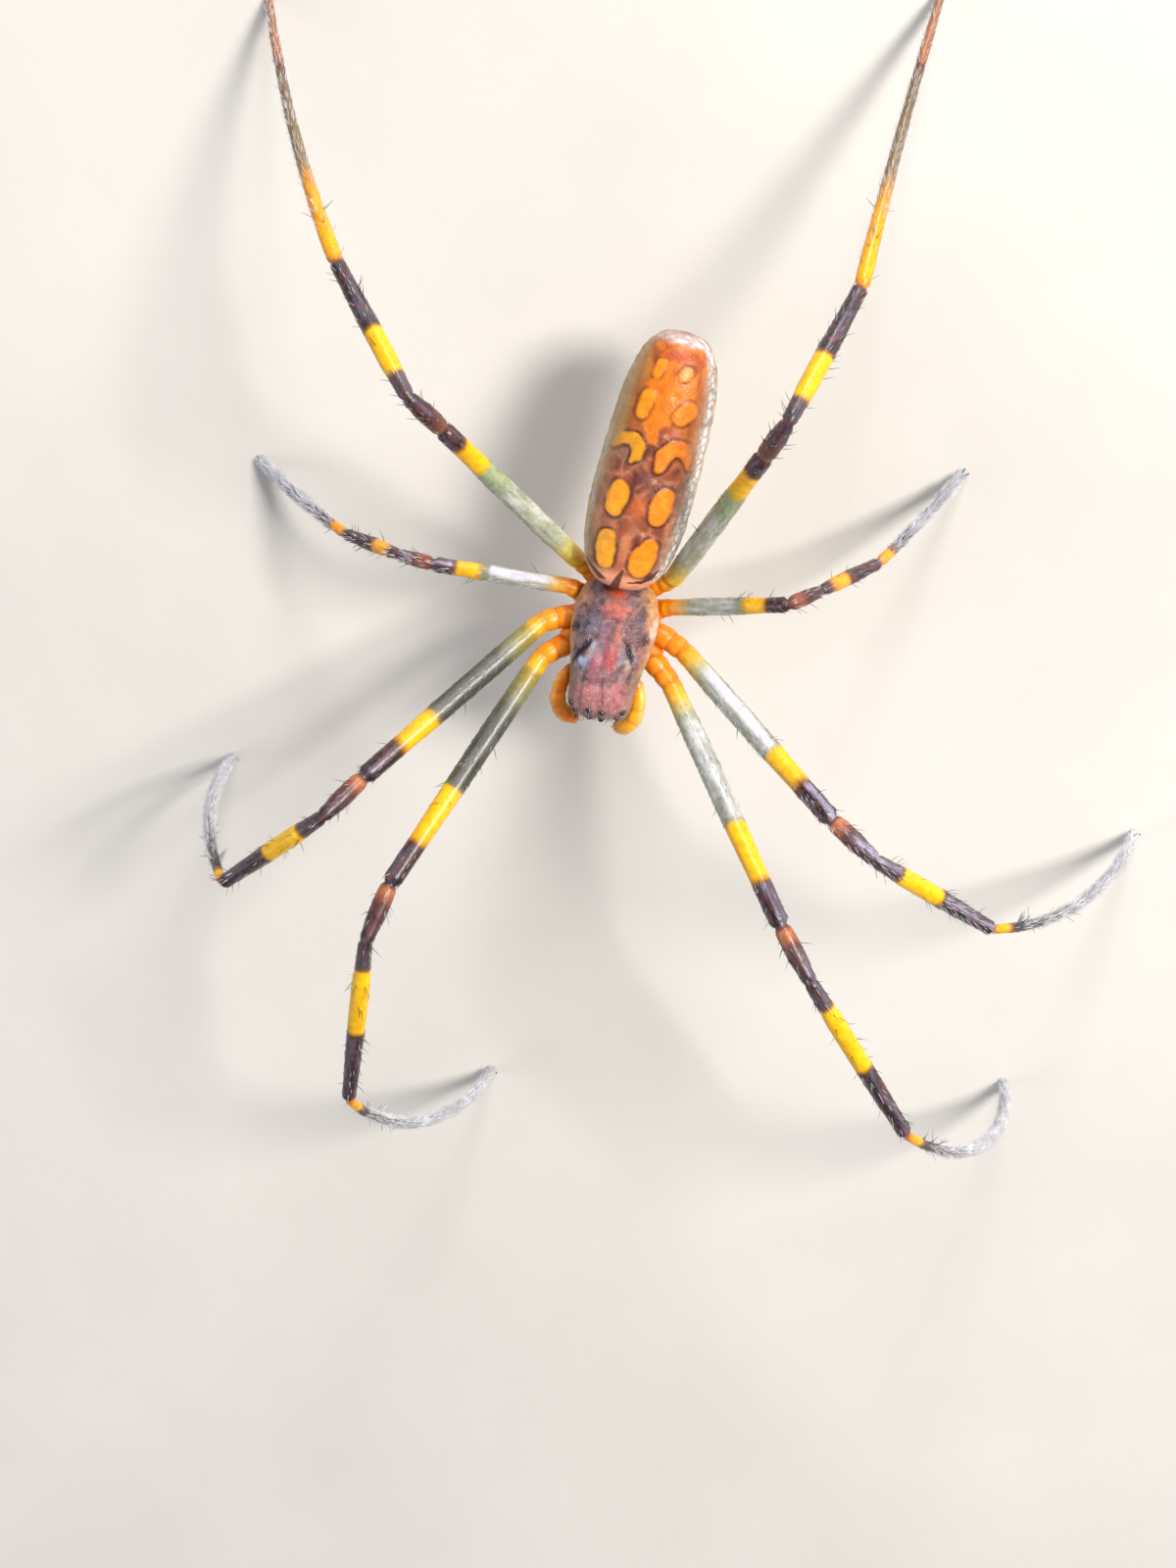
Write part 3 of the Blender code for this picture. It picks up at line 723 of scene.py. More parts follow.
THIRD_LEG_BANDS = (
    (0.0, "#D87008"), (0.25, "#F68C06"), (0.58, "#FF960A"), (0.63, "#DC7408"), (0.69, "#FF960A"),
    (0.92, "#FFA010"), (1.0, "#F08C10"), (1.05, "#F4AA3C"), (1.12, "#DCB868"), (1.2, "#A8AC8C"),
    (1.3, "#98A288"), (1.62, "#869078"), (1.66, "#D8A818"), (1.69, "#FFC61A"), (1.81, "#F8B81A"),
    (1.84, "#6A4028"), (1.87, "#34201F"), (1.98, "#2A1618"), (2.04, "#7A3A2C"), (2.25, "#98563E"),
    (2.5, "#5C3430"), (2.95, "#3E2628"), (3.0, "#35201F"), (3.12, "#4A3432"), (3.17, "#D89028"),
    (3.24, "#F8AE2C"), (3.38, "#F0A030"), (3.44, "#5A3828"), (3.5, "#382424"), (3.96, "#3C2624"),
    (4.0, "#C07040"), (4.03, "#F0A02C"), (4.1, "#EE9C28"), (4.14, "#8A7264"), (4.2, "#5E5A64"),
    (4.6, "#7C7E8C"), (5.0, "#8C8E9C"),
)
REAR_LEG_BANDS = (
    (0.0, "#D87008"), (0.25, "#F68C06"), (0.58, "#FF960A"), (0.63, "#DC7408"), (0.69, "#FF960A"),
    (0.92, "#FAA810"), (1.0, "#EC9A10"), (1.03, "#F8C628"), (1.1, "#DCC860"), (1.2, "#B0B890"),
    (1.5, "#A8B48E"), (1.71, "#A0AC84"), (1.735, "#D0B428"), (1.755, "#FFC400"), (1.875, "#FFBE00"),
    (1.895, "#8A5018"), (1.91, "#30181A"), (1.985, "#1C0E12"), (2.0, "#3A1C1C"), (2.06, "#8A5438"),
    (2.25, "#704234"), (2.5, "#4C2C2C"), (3.0, "#2A1A1C"), (3.08, "#402E2E"), (3.15, "#4A3430"),
    (3.17, "#D89A08"), (3.185, "#FFC600"), (3.47, "#FFBE00"), (3.49, "#8A5818"), (3.51, "#32201F"),
    (3.8, "#2C1C20"), (3.97, "#34201F"), (3.99, "#B85A18"), (4.0, "#E88A10"), (4.03, "#FFB400"),
    (4.2, "#F8A606"), (4.3, "#D0902C"), (4.37, "#86704E"), (4.7, "#74604A"), (4.735, "#6A3424"),
    (4.755, "#A86A3A"), (5.0, "#9A6A46"),
)
BANDS = {1: LONG_LEG_BANDS, 2: LONG_LEG_BANDS, 3: THIRD_LEG_BANDS, 4: REAR_LEG_BANDS}
# Where a pair's yellow bands are shorter than its table's: the leg's own station, and the table's.
SQUEEZES = {
    1: ((0.0, 0.0), (3.05, 3.05), (3.165, 3.145), (3.545, 3.58), (3.66, 3.66), (5.0, 5.0)),
    2: ((0.0, 0.0), (1.5, 1.5), (1.632, 1.6), (1.785, 1.81), (1.9, 1.9), (3.05, 3.05), (3.195, 3.145),
        (3.52, 3.58), (3.66, 3.66), (5.0, 5.0)),
    3: ((0.0, 0.0), (5.0, 5.0)),
    4: ((0.0, 0.0), (5.0, 5.0)),
}


def bearing(compass: float, rise: float) -> Vector:
    """The unit direction of a compass angle and a rise above level."""
    level = math.cos(rise * DEGREES)
    return Vector((level * math.cos(compass * DEGREES), level * math.sin(compass * DEGREES),
                   math.sin(rise * DEGREES)))


@dataclass
class Leg:
    """One leg from coxa to claws, under one skin."""

    side: Side
    pair: int
    coat_depth: float = 0.06
    claw_length: float = 0.34
    root_depth: float = 0.6

    SEGMENTS = ("coxa", "femur", "patella", "tibia", "foot")
    # Painted highlight: how strongly each leg carries a pale sheen on its side facing up and back, and that direction.
    SHEEN = {(Side.LEFT, 1): 0.3, (Side.LEFT, 2): 0.85, (Side.RIGHT, 3): 1.0}
    SHEEN_FACING = (0.3, 0.65, 0.7)
    GLEAM = {(Side.LEFT, 1): 0.03, (Side.LEFT, 2): 0.1, (Side.LEFT, 3): 0.05, (Side.LEFT, 4): 0.02,
             (Side.RIGHT, 1): 0.012, (Side.RIGHT, 2): 0.012, (Side.RIGHT, 3): 0.1, (Side.RIGHT, 4): 0.02}
    PINCHES = ((0.64, 0.07), (1.0, 0.09), (2.0, 0.24), (3.0, 0.2), (4.0, 0.26), (4.74, 0.1))

    @property
    def name(self) -> str:
        """The leg's name inside its nodes' names."""
        return f"leg_{self.side.word}_{self.pair}"

    def joints(self, dip: float) -> list[Vector]:
        """The corners from hip to tip, with everything past the knee tipped down.

        Args:
            dip: degrees by which the tibia and the foot are tipped down.

        Returns:
            Hip, knee, lower end of the patella, heel, and the points of the foot.
        """
        sizes, pose = LEG_SIZES[self.pair], LEG_POSES[self.side, self.pair]
        hip = PROSOMA @ Vector((self.side.value * sizes.hip[0], sizes.hip[1], HIP_LEVEL))
        knee = hip + sizes.femur * bearing(*pose.femur)
        compass = (pose.femur[0] + pose.tibia[0]) / 2
        if abs(pose.femur[0] - pose.tibia[0]) > 180:
            compass += 180
        below = knee + sizes.patella * bearing(compass, pose.patella_rise)
        heel = below + sizes.tibia * bearing(pose.tibia[0], pose.tibia[1] - dip)
        points = [hip, knee, below, heel]
        for i in range(FOOT_STEPS):
            t = (i + 0.5) / FOOT_STEPS
            turn = pose.heel[0] + (pose.tip[0] - pose.heel[0]) * t
            rise = pose.heel[1] + (pose.tip[1] - pose.heel[1]) * t - dip
            points.append(points[-1] + sizes.foot / FOOT_STEPS * bearing(turn, rise))
        return points

    def settled(self) -> list[Vector]:
        """The corners with the dip that brings the tip down to the floor."""
        low, high = -STEEPEST_DIP, STEEPEST_DIP
        for _ in range(HALVINGS):
            middle = (low + high) / 2
            if self.joints(middle)[-1].z > 0:
                low = middle
            else:
                high = middle
        return self.joints(low)

    def route(self) -> tuple[np.ndarray, np.ndarray]:
        """The leg's corners from its root, stopped where the rounded tip meets the floor.

        Returns:
            The points, and the station of each.
        """
        sizes = LEG_SIZES[self.pair]
        corners = self.settled()
        root = PROSOMA @ Vector((self.side.value * sizes.socket[0], sizes.socket[1], COXA_LEVEL))
        waist = root.lerp(corners[0], 0.55) - Vector((0, 0, COXA_SAG))
        inside = root + (root - waist).normalized() * self.root_depth
        points = np.array([inside, root, waist, *corners])
        stations = np.array([-0.2, 0, 0.55, 1, 2, 3, 4, *[4 + (i + 1) / FOOT_STEPS for i in range(FOOT_STEPS)]])
        sole = self.foot_girths()[-1]
        drop = (points[-2, 2] - sole * 0.9) / (points[-2, 2] - points[-1, 2])
        points[-1] = points[-2] + (points[-1] - points[-2]) * drop
        direction = (points[-1] - points[-2]) / np.linalg.norm(points[-1] - points[-2])
        points[-1] += direction * sole * 0.8 * abs(direction[2])
        return points, stations

    def foot_girths(self) -> tuple[float, float, float, float]:
        """Half the width of the bare foot at its start, middle, last quarter and tip."""
        sizes = LEG_SIZES[self.pair]
        if self.pair == 4:
            return sizes.heel_girth - 0.05, 0.3, 0.24, 0.18
        return sizes.heel_girth - 0.05, 0.23, 0.23, 0.17

    def girth_table(self) -> tuple[tuple[float, float], ...]:
        """Half the width of the bare leg at stations along it."""
        sizes = LEG_SIZES[self.pair]
        femur, patella = sizes.femur_girth - self.coat_depth, sizes.patella_girth - 0.05
        tibia = sizes.tibia_girth - 0.045
        heel, middle, tuft, tip = self.foot_girths()
        coxa = sizes.coxa_girth - 0.03
        return ((-0.2, 0.6 * coxa), (0, 0.86 * coxa), (0.2, 0.98 * coxa), (0.45, coxa), (0.6, 0.96 * coxa), (0.75, 0.94 * coxa),
                (0.9, 0.9 * coxa), (1.0, 0.9 * coxa), (1.03, 0.92 * femur), (1.25, femur), (1.6, 0.98 * femur), (1.8, 0.88 * femur),
                (1.97, 0.86 * femur), (2.0, 0.85 * patella), (2.2, 0.98 * patella), (2.55, patella),
                (2.85, 0.8 * patella), (3.0, 0.76 * patella), (3.06, 0.78 * tibia), (3.16, 0.86 * tibia),
                (3.24, tibia), (3.5, tibia), (3.62, 0.94 * tibia), (3.97, 0.76 * tibia), (4.0, 0.9 * heel),
                (4.05, heel), (4.35, middle), (4.72, tuft), (4.8, tuft), (5.0, tip))

    def limb(self) -> Limb:
        """The leg's rings, with a pinch and a lip at each joint."""
        points, stations = self.route()
        along = np.concatenate([[0], np.cumsum(np.linalg.norm(np.diff(points, axis=0), axis=1))])
        tip = self.foot_girths()[-1]
        made = Limb(points, np.zeros(len(points)), rounding=0.16, domes=(0.35, tip))
        self.station = np.interp(made.at, along, stations)
        made.girth = np.interp(self.station, *zip(*self.girth_table()))
        for station, depth in self.PINCHES:
            away = made.at - np.interp(station, stations, along)
            made.girth = made.girth * (1 - depth * bump(away, 0, 0.13) + 0.25 * depth * bump(away, -0.3, 0.16)
                                       + 0.15 * depth * bump(away, 0.28, 0.14))
        return made

    def markings(self, skin: Skin, station: np.ndarray) -> np.ndarray:
        """The bands of colour, with uneven edges.

        Args:
            skin: the leg's skin.
            station: the station of each vertex.

        Returns:
            The colour of each vertex.
        """
        uneven = cloud(skin.points, 0.5, self.pair) - 0.5
        table = BANDS[self.pair]
        places = [place for place, _ in table]
        colours = np.array([linear(colour) for _, colour in table])
        read = np.interp(station, *zip(*SQUEEZES[self.pair])) + 0.016 * uneven
        paint = Paint(len(station), "#000000")
        paint.tint = np.stack([np.interp(read, places, colours[:, i]) for i in range(3)], 1)
        brightness = paint.tint.max(1)
        streaks = cloud(self.stretched, 0.42, self.pair + 30)
        flecks = cloud(skin.points, 0.3, self.pair + 40)
        femur = fade(1.12, 1.25, station) * fade(1.6, 1.56, read)
        # Painted light and shade: one femur colour, painted pale silver-grey as if lit on the left legs and pairs 3
        # and 4, and dark olive with an olive root band as if shaded on right legs 1 and 2.
        pale = self.side is Side.LEFT or self.pair > 2
        paint.lay("#B9BAAE" if pale else "#2E2D1E", (0.4 if pale else 0.9) * femur)
        paint.lay("#D6D6DC" if pale else "#56543C", 0.6 * femur * fade(0.4, 0.7, streaks))
        paint.lay("#84867C" if pale else "#292717", 0.45 * femur * fade(0.5, 0.2, streaks))
        if not pale and self.pair < 3:
            paint.lay("#7E7424", 0.75 * fade(1.04, 1.08, read) * fade(1.26, 1.14, read))
        # Painted highlight: a pale lavender sheen along the side of the leg that faces up and back, on the femur and,
        # duller, on the dark segments.
        lit = fade(0.72, 0.92, self.outward @ np.array(self.SHEEN_FACING) + 0.25 * (streaks - 0.5))
        sheen = self.SHEEN.get((self.side, self.pair), 0.1) * lit
        paint.lay("#E8E4F4", sheen * fade(1.08, 1.2, station) * fade(1.6, 1.56, read))
        dark = fade(0.12, 0.05, brightness) * (1 - femur)
        paint.lay("#B8B2D0", 0.85 * sheen * dark * fade(0.25, 0.5, streaks) * fade(4.1, 4.0, station))
        # Painted glints: purple patches on the dark segments.
        paint.lay("#7E6C8A", 0.4 * dark * fade(0.56, 0.74, streaks) * fade(4.2, 4.0, station))
        paint.lay("#7A4038", 0.5 * dark * fade(0.5, 0.72, flecks) * fade(4.2, 4.0, station))
        bright = fade(0.5, 0.8, brightness)
        paint.lay("#F59A10", 0.22 * bright * fade(0.55, 0.8, flecks))
        return paint.tint * (0.88 + 0.24 * cloud(skin.points, 1.4, self.pair + 10))[:, None]

    def dress(self, limb: Limb, skin: Skin) -> None:
        """Sets the markings and where each kind of hair grows."""
        station = limb.spread(skin, self.station)
        reach = limb.spread(skin, 0.3 * limb.at)
        self.stretched = np.stack([reach, limb.facing, limb.siding], 1)
        spine = skin.filled(np.repeat(limb.line[:, None], limb.sides, 1))
        self.outward = (skin.points - spine) / np.linalg.norm(skin.points - spine, axis=1).clip(0.01)[:, None]
        skin.values["tint"] = self.markings(skin, station)
        near_joint = sum(bump(station, joint, 0.012) for joint in (1, 2, 3, 4))
        bare = 1 - np.clip(near_joint, 0, 1)
        silver = (0.3 * fade(4.08, 4.15, station) + 0.7 * fade(4.15, 4.45, station)) * (
            0.15 if self.pair == 4 else 1.0)
        yellow = fade(0.45, 0.75, skin.values["tint"].max(1))
        dull = 0.45 if self.side is Side.RIGHT and self.pair < 3 else 1.0
        skin.values["cover_down"] = bare * (0.35 + 0.65 * dull * fade(0.9, 1.2, station)) * (
            1 - yellow) * fade(4.3, 4.1, station)
        gleam = self.GLEAM[self.side, self.pair] * bare * (1 - yellow)
        skin.values["cover_silver"] = silver + gleam * fade(1.15, 1.3, station) * fade(
            0.2, 0.8, limb.facing) * fade(4.0, 3.9, station)
        skin.values["cover_bristle"] = bare * fade(1.1, 1.5, station) * (
            0.2 + 0.8 * fade(1.9, 2.4, station)) * fade(4.5, 4.15, station) * (1 - 0.5 * yellow)
        heel = bump(station, 4.14, 0.05) * fade(0.6, 0.8, self.outward[:, 1])
        skin.values["cover_spine"] = heel if self.pair < 3 else 0.4 * heel

    def claws(self, limb: Limb, finish: bpy.types.Material) -> bpy.types.Object:
        """The paired claws and the small hook between them, curved down from the tip.

        Args:
            limb: the leg's rings.
            finish: the claws' material.

        Returns:
            The claws as one object.
        """
        tip, ahead = limb.line[-5], limb.ahead[-5].copy()
        level = np.array([ahead[0], ahead[1], 0.0])
        if np.linalg.norm(level) < 0.3:
            level = limb.over[-5] * (1, 1, 0)
        level /= np.linalg.norm(level)
        across = np.cross(level, (0, 0, 1))
        pieces = []
        for shift, size in ((-0.09, 1.0), (0.09, 1.0), (0.0, 0.7)):
            start = tip + across * shift * 0.7
            reach = self.claw_length * size
            route = np.array([start, start + level * reach * 0.5 + across * shift * 0.6,
                              start + level * reach * 0.9 + across * shift, start + level * reach
                              + across * shift])
            route[:, 2] = np.maximum([tip[2], tip[2] * 0.95, tip[2] * 0.55, 0.02], 0.02)
            claw = Limb(route, np.array([0.045, 0.04, 0.03, 0.012]), step=0.05, rounding=0.05, sides=8,
                        domes=(0.03, 0.015))
            pieces.append(claw.skin().build(f"claw_{self.name}", finish))
        return joined(pieces, f"claws_{self.name}")

    def build(self, finishes: Finishes, coat: Coat, hairs: dict[str, Hair]) -> None:
        """Makes the leg's skin, claws and hair, and puts them on the body.

        Args:
            finishes: the materials.
            coat: what grows the hair.
            hairs: the kinds of hair by name.
        """
        limb = self.limb()
        skin = limb.skin()
        self.dress(limb, skin)
        body = skin.build(f"skin_{self.name}", finishes.leg)
        settle(body, "legs", *[f"{self.name}_{segment}" for segment in self.SEGMENTS])
        for name in ("down", "silver", "bristle", "spine"):
            settle(coat.grow(body, hairs[name], f"cover_{name}"), "legs")
        settle(self.claws(limb, finishes.fang), "legs")


def joined(pieces: list[bpy.types.Object], name: str) -> bpy.types.Object:
    """Joins objects that sit at the origin into one.

    Args:
        pieces: the objects, which share their attributes.
        name: the new object's name.

    Returns:
        The joined object.
    """
    with bpy.context.temp_override(active_object=pieces[0], selected_editable_objects=pieces):
        bpy.ops.object.join()
    pieces[0].name = pieces[0].data.name = name
    return pieces[0]


def settle(piece: bpy.types.Object, slot: str, *nodes: str) -> None:
    """Puts a piece on the body and hides the solids that it stands for.

    Args:
        piece: the finished object.
        slot: not used.
        nodes: the solids.
    """
    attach(piece, BODY)
    if nodes:
        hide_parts(*nodes)
    log.info("%s: %d faces", piece.name, len(piece.data.polygons))


@dataclass(frozen=True)
class Stroke:
    """One spot or hook on the abdomen's back, as points with half the stroke's width at each."""

    points: tuple[tuple[float, float, float], ...]
    colour: str

    def cover(self, x: np.ndarray, y: np.ndarray, grown: float = 0.0) -> np.ndarray:
        """How much of the stroke's colour each place takes.

        Args:
            x: places across the body.
            y: places along it.
            grown: millimetres by which the stroke's edge is moved outwards.

        Returns:
            1 inside the stroke and 0 outside, with a soft edge.
        """
        near = np.full(x.shape, 9.0)
        for (ax, ay, a_half), (bx, by, b_half) in zip(self.points, self.points[1:]):
            run = (bx - ax) ** 2 + (by - ay) ** 2
            t = np.clip(((x - ax) * (bx - ax) + (y - ay) * (by - ay)) / run, 0, 1)
            far = np.hypot(x - ax - t * (bx - ax), y - ay - t * (by - ay))
            near = np.minimum(near, far / np.maximum(a_half + (b_half - a_half) * t + grown, 0.02))
        return fade(1.14, 0.88, near)


@dataclass(frozen=True)
class Blot:
    """A soft round patch: its middle, its two half sizes, its colour and how much of it shows."""

    x: float
    y: float
    across: float
    along: float
    colour: str
    strength: float

    def cover(self, x: np.ndarray, y: np.ndarray) -> np.ndarray:
        """How much of the patch's colour each place takes."""
        far = ((x - self.x) / self.across) ** 2 + ((y - self.y) / self.along) ** 2
        return self.strength * np.exp(-far ** 1.4)


@dataclass
class Abdomen:
    """The long rounded abdomen with its orange spots, pale rim and lined flanks."""

    length: float = 12.9
    width: float = 5.35
    taper: float = 0.12
    top: float = 2.3
    belly: float = 2.1
    bluntness: float = 3.1
    nose_lift: float = 0.85
    nose_stretch: float = 0.18
    coat_depth: float = 0.05
    pattern_shift: float = 0.2
    rows: int = 240
    columns: int = 168

    FIELD = (
        Stroke(((-0.15, 1.2, 0.18), (-0.35, 1.95, 0.34), (0.1, 2.5, 0.5), (0.1, 4.2, 0.7)), "#E87E04"),
        Stroke(((-0.6, 3.4, 0.5), (0.7, 3.7, 0.6)), "#E47A06"),
    )
    # Painted shadows in the crease between the abdomen's front and the waist, as the camera sees them: right and up
    # from the chest's middle.
    NOSE = (
        Stroke(((-1.15, 4.35, 0.03), (-0.88, 3.82, 0.08), (-0.46, 3.35, 0.09), (-0.25, 3.2, 0.03)), "#4A1A12"),
        Stroke(((0.85, 2.98, 0.03), (1.5, 3.0, 0.07), (2.0, 3.24, 0.1), (2.4, 3.62, 0.03)), "#4A1A12"),
        Stroke(((0.16, 2.7, 0.24), (0.38, 3.15, 0.17), (0.62, 3.58, 0.04)), "#56201A"),
    )
    SPOTS = (
        Stroke(((-0.9, -5.2, 0.44), (-0.98, -4.75, 0.52), (-1.06, -4.15, 0.42)), "#F6A400"),
        Stroke(((0.86, -5.15, 0.54), (0.95, -4.6, 0.58), (1.06, -4.1, 0.4)), "#FA8C00"),
        Stroke(((-1.1, -2.6, 0.42), (-1.08, -2.1, 0.54), (-1.04, -1.72, 0.48)), "#F6A000"),
        Stroke(((1.06, -2.55, 0.42), (1.12, -2.0, 0.54), (1.2, -1.52, 0.46)), "#FA8600"),
        Stroke(((-2.0, 0.3, 0.14), (-1.62, 0.78, 0.26), (-1.05, 0.92, 0.3), (-0.7, 0.62, 0.32),
                (-0.66, 0.2, 0.28), (-0.84, -0.1, 0.14)), "#E69C10"),
        Stroke(((0.56, -0.1, 0.28), (0.62, 0.5, 0.4), (0.95, 0.95, 0.36), (1.4, 0.95, 0.36),
                (1.8, 0.6, 0.3), (1.95, 0.1, 0.14)), "#F2840C"),
        Stroke(((-0.96, 2.25, 0.3), (-0.88, 3.05, 0.36)), "#F2980A"),
        Stroke(((0.92, 2.5, 0.4), (1.2, 2.85, 0.42)), "#F5860A"),
        Stroke(((-0.74, 4.2, 0.2), (-0.66, 4.72, 0.24)), "#EE8E10"),
        Stroke(((0.56, 4.45, 0.28), (0.66, 4.62, 0.28)), "#EC7C0C"),
    )
    BLOTS = (
        Blot(0.05, -2.3, 0.45, 0.6, "#C8642A", 0.9), Blot(0.1, -3.2, 0.9, 0.5, "#A0583C", 0.6),
        Blot(-0.1, -0.8, 0.6, 0.45, "#552A36", 0.8), Blot(-0.42, -1.5, 0.16, 0.6, "#4A2226", 0.75),
        Blot(0.52, -1.25, 0.3, 0.35, "#52262C", 0.7), Blot(-0.3, 0.35, 0.2, 0.6, "#5E3234", 0.7),
        Blot(0.25, 0.1, 0.16, 0.7, "#5A2E30", 0.65), Blot(1.72, -0.35, 0.16, 0.5, "#55261E", 0.6),
        Blot(1.15, 0.15, 0.26, 0.3, "#B86E54", 0.7), Blot(-1.35, 0.15, 0.34, 0.4, "#A87860", 0.7),
        Blot(-0.45, -4.4, 0.1, 0.6, "#5A2A24", 0.7), Blot(0.42, -3.9, 0.14, 0.35, "#4E2422", 0.75),
        Blot(1.5, -3.9, 0.12, 0.5, "#5A2C28", 0.6), Blot(-1.5, -3.6, 0.35, 0.35, "#94684E", 0.6),
        Blot(0.85, 1.68, 0.3, 0.22, "#D27A62", 0.85), Blot(0.3, 1.55, 0.12, 0.3, "#7A3428", 0.7),
        Blot(-0.1, -4.5, 0.24, 0.75, "#D07E54", 0.9), Blot(-0.05, -5.45, 0.45, 0.25, "#C06A44", 0.7),
        Blot(0.1, 5.25, 0.75, 0.3, "#BE441C", 0.85), Blot(1.0, 5.0, 0.3, 0.25, "#A84A1C", 0.6),
        Blot(0.05, 4.5, 0.14, 0.45, "#B04A18", 0.7), Blot(-0.1, 3.0, 0.12, 0.3, "#C2601A", 0.6),
        Blot(-1.3, 4.2, 0.2, 0.7, "#B8864A", 0.6), Blot(1.45, 3.9, 0.22, 0.8, "#C06A30", 0.6),
    )
    DIMPLES = ((0.62, -3.4, 0.09), (0.58, -0.7, 0.12), (0.52, 1.6, 0.1), (0.44, 3.4, 0.08))

    def surface(self) -> tuple[np.ndarray, np.ndarray, np.ndarray]:
        """The smooth surface in the abdomen's own frame.

        Returns:
            The points as rows by columns by three, the place along the body and the angle of each.
        """
        turns = math.pi * (np.arange(self.rows) + 0.6) / (self.rows + 0.2)
        even = np.linspace(0.002, 0.998, self.rows)
        t = (0.6 * (1 - np.cos(turns)) / 2 + 0.4 * even)[:, None]
        angle = np.linspace(0, 2 * math.pi, self.columns, endpoint=False)[None, :]
        along = 2 * t - 1
        fullness = (1 - np.abs(along) ** self.bluntness) ** (1 / self.bluntness)
        lift = self.nose_lift * np.maximum(0, 1 - t / self.nose_stretch) ** 2
        reach = np.where(np.sin(angle) > 0, self.top, self.belly) - self.coat_depth
        x = (self.width / 2 - self.coat_depth) * (1 - self.taper * t) * fullness * np.cos(angle)
        y = np.broadcast_to((self.length / 2 - self.coat_depth) * along, x.shape)
        z = lift + reach * fullness * np.sin(angle)
        return np.stack([x, y, z], -1), np.broadcast_to(t, x.shape), np.broadcast_to(angle, x.shape)

    def relief(self, points: np.ndarray, angle: np.ndarray) -> np.ndarray:
        """How far the skin stands in or out: dimples, raised spots and folds on the flanks."""
        x, y = points[..., 0], points[..., 1] - self.pattern_shift
        above = fade(0.0, 0.35, np.sin(angle))
        height = np.zeros_like(x)
        for across, along, depth in self.DIMPLES:
            for sign in (-1, 1):
                far = np.hypot((x - sign * across) / 0.17, (y - along) / 0.17)
                height -= above * depth * np.exp(-far ** 2)
        for spot in self.SPOTS:
            height += 0.035 * above * spot.cover(x, y, 0.04)
        flat = points.reshape(-1, 3)
        folds = (cloud(flat * (1, 3.2, 1), 1.1, 3) - 0.5).reshape(x.shape)
        height += 0.09 * folds * fade(0.45, -0.1, np.sin(angle))
        height += 0.035 * (cloud(flat, 0.55, 4) - 0.5).reshape(x.shape)
        return height

    def markings(self, flat: np.ndarray, angle: np.ndarray) -> np.ndarray:
        """The colours of the back, the rim, the flanks and the belly.

        Args:
            flat: the vertices in the abdomen's own frame.
            angle: the angle of each round the body, 0 on the left side and a quarter turn on top.

        Returns:
            The colour of each vertex.
        """
        wobble = cloud(flat, 0.7, 5) - 0.5
        fine = cloud(flat, 0.26, 6) - 0.5
        x = flat[:, 0] + 0.12 * wobble + 0.05 * fine
        y = flat[:, 1] - self.pattern_shift + 0.14 * (cloud(flat, 0.8, 7) - 0.5) + 0.05 * fine
        high = np.sin(angle)
        back = fade(0.2, 0.5, high + 0.16 * wobble)
        paint = Paint(len(flat), "#A4552E")
        paint.lay("#7E3E30", fade(0.45, 0.72, cloud(flat, 1.1, 8)))
        net = cells(np.stack([x, y, 0.5 * flat[:, 2]], 1), 0.85, 2)
        paint.lay("#C98A64", 0.65 * fade(0.4, 0.08, net) * fade(2.0, 1.0, y))
        paint.lay("#562624", 0.55 * fade(0.55, 0.95, net) * fade(1.6, 0.8, y))
        for blot in self.BLOTS[:12]:
            paint.lay(blot.colour, blot.cover(x, y))
        warm = fade(-0.9, 0.2, y) * fade(0.1, 0.7, x)
        paint.lay("#D46A1C", 0.75 * warm * fade(0.3, 0.6, cloud(flat, 0.5, 20)))
        rear = fade(1.0, 2.2, y) * fade(1.85, 1.35, np.abs(x - 0.05))
        paint.lay("#CA6C0C", 0.9 * rear)
        paint.lay("#9A4014", 0.7 * rear * fade(0.4, 0.12, net))
        paint.lay("#E08A10", 0.55 * rear * fade(0.5, 0.75, cloud(flat, 0.45, 11)))
        for stroke in self.FIELD:
            paint.lay(stroke.colour, 0.95 * stroke.cover(x, y, 0.1))
        for blot in self.BLOTS[12:]:
            paint.lay(blot.colour, blot.cover(x, y))
        for spot in self.SPOTS:
            # Painted shadow: a broken dark rim round each spot, laid before the spot's own colour.
            paint.lay("#4A1C16", 0.9 * spot.cover(x, y, 0.16) * (1 - 0.4 * rear) * fade(
                0.25, 0.5, cloud(flat, 0.6, 16)))
            paint.lay(spot.colour, spot.cover(x, y))
        paint.lay("#FFB414", 0.35 * fade(0.5, 0.75, cloud(flat, 0.4, 12)) * sum(
            spot.cover(x, y, -0.12) for spot in self.SPOTS))
        edge = fade(1.4, 1.8, np.abs(x)) * back
        paint.lay("#B58A4C", 0.95 * edge * fade(-0.6, 1.4, y) * (x < 0))
        paint.lay("#C47C48", 0.8 * edge * fade(-0.6, 1.4, y) * (x >= 0))
        paint.lay("#A87458", 0.5 * edge * fade(0.6, -0.6, y))
        paint.lay("#6A3E34", 0.6 * bump(np.abs(x), 1.98, 0.07) * back * fade(0.4, 0.6, cloud(flat, 0.9, 17)))
        self.flank(paint, flat, high, wobble)
        seen = moved(ABDOMEN, flat) - np.array(PROSOMA.translation)
        right, up = seen @ np.array(VIEW_RIGHT), seen @ np.array(VIEW_UP)
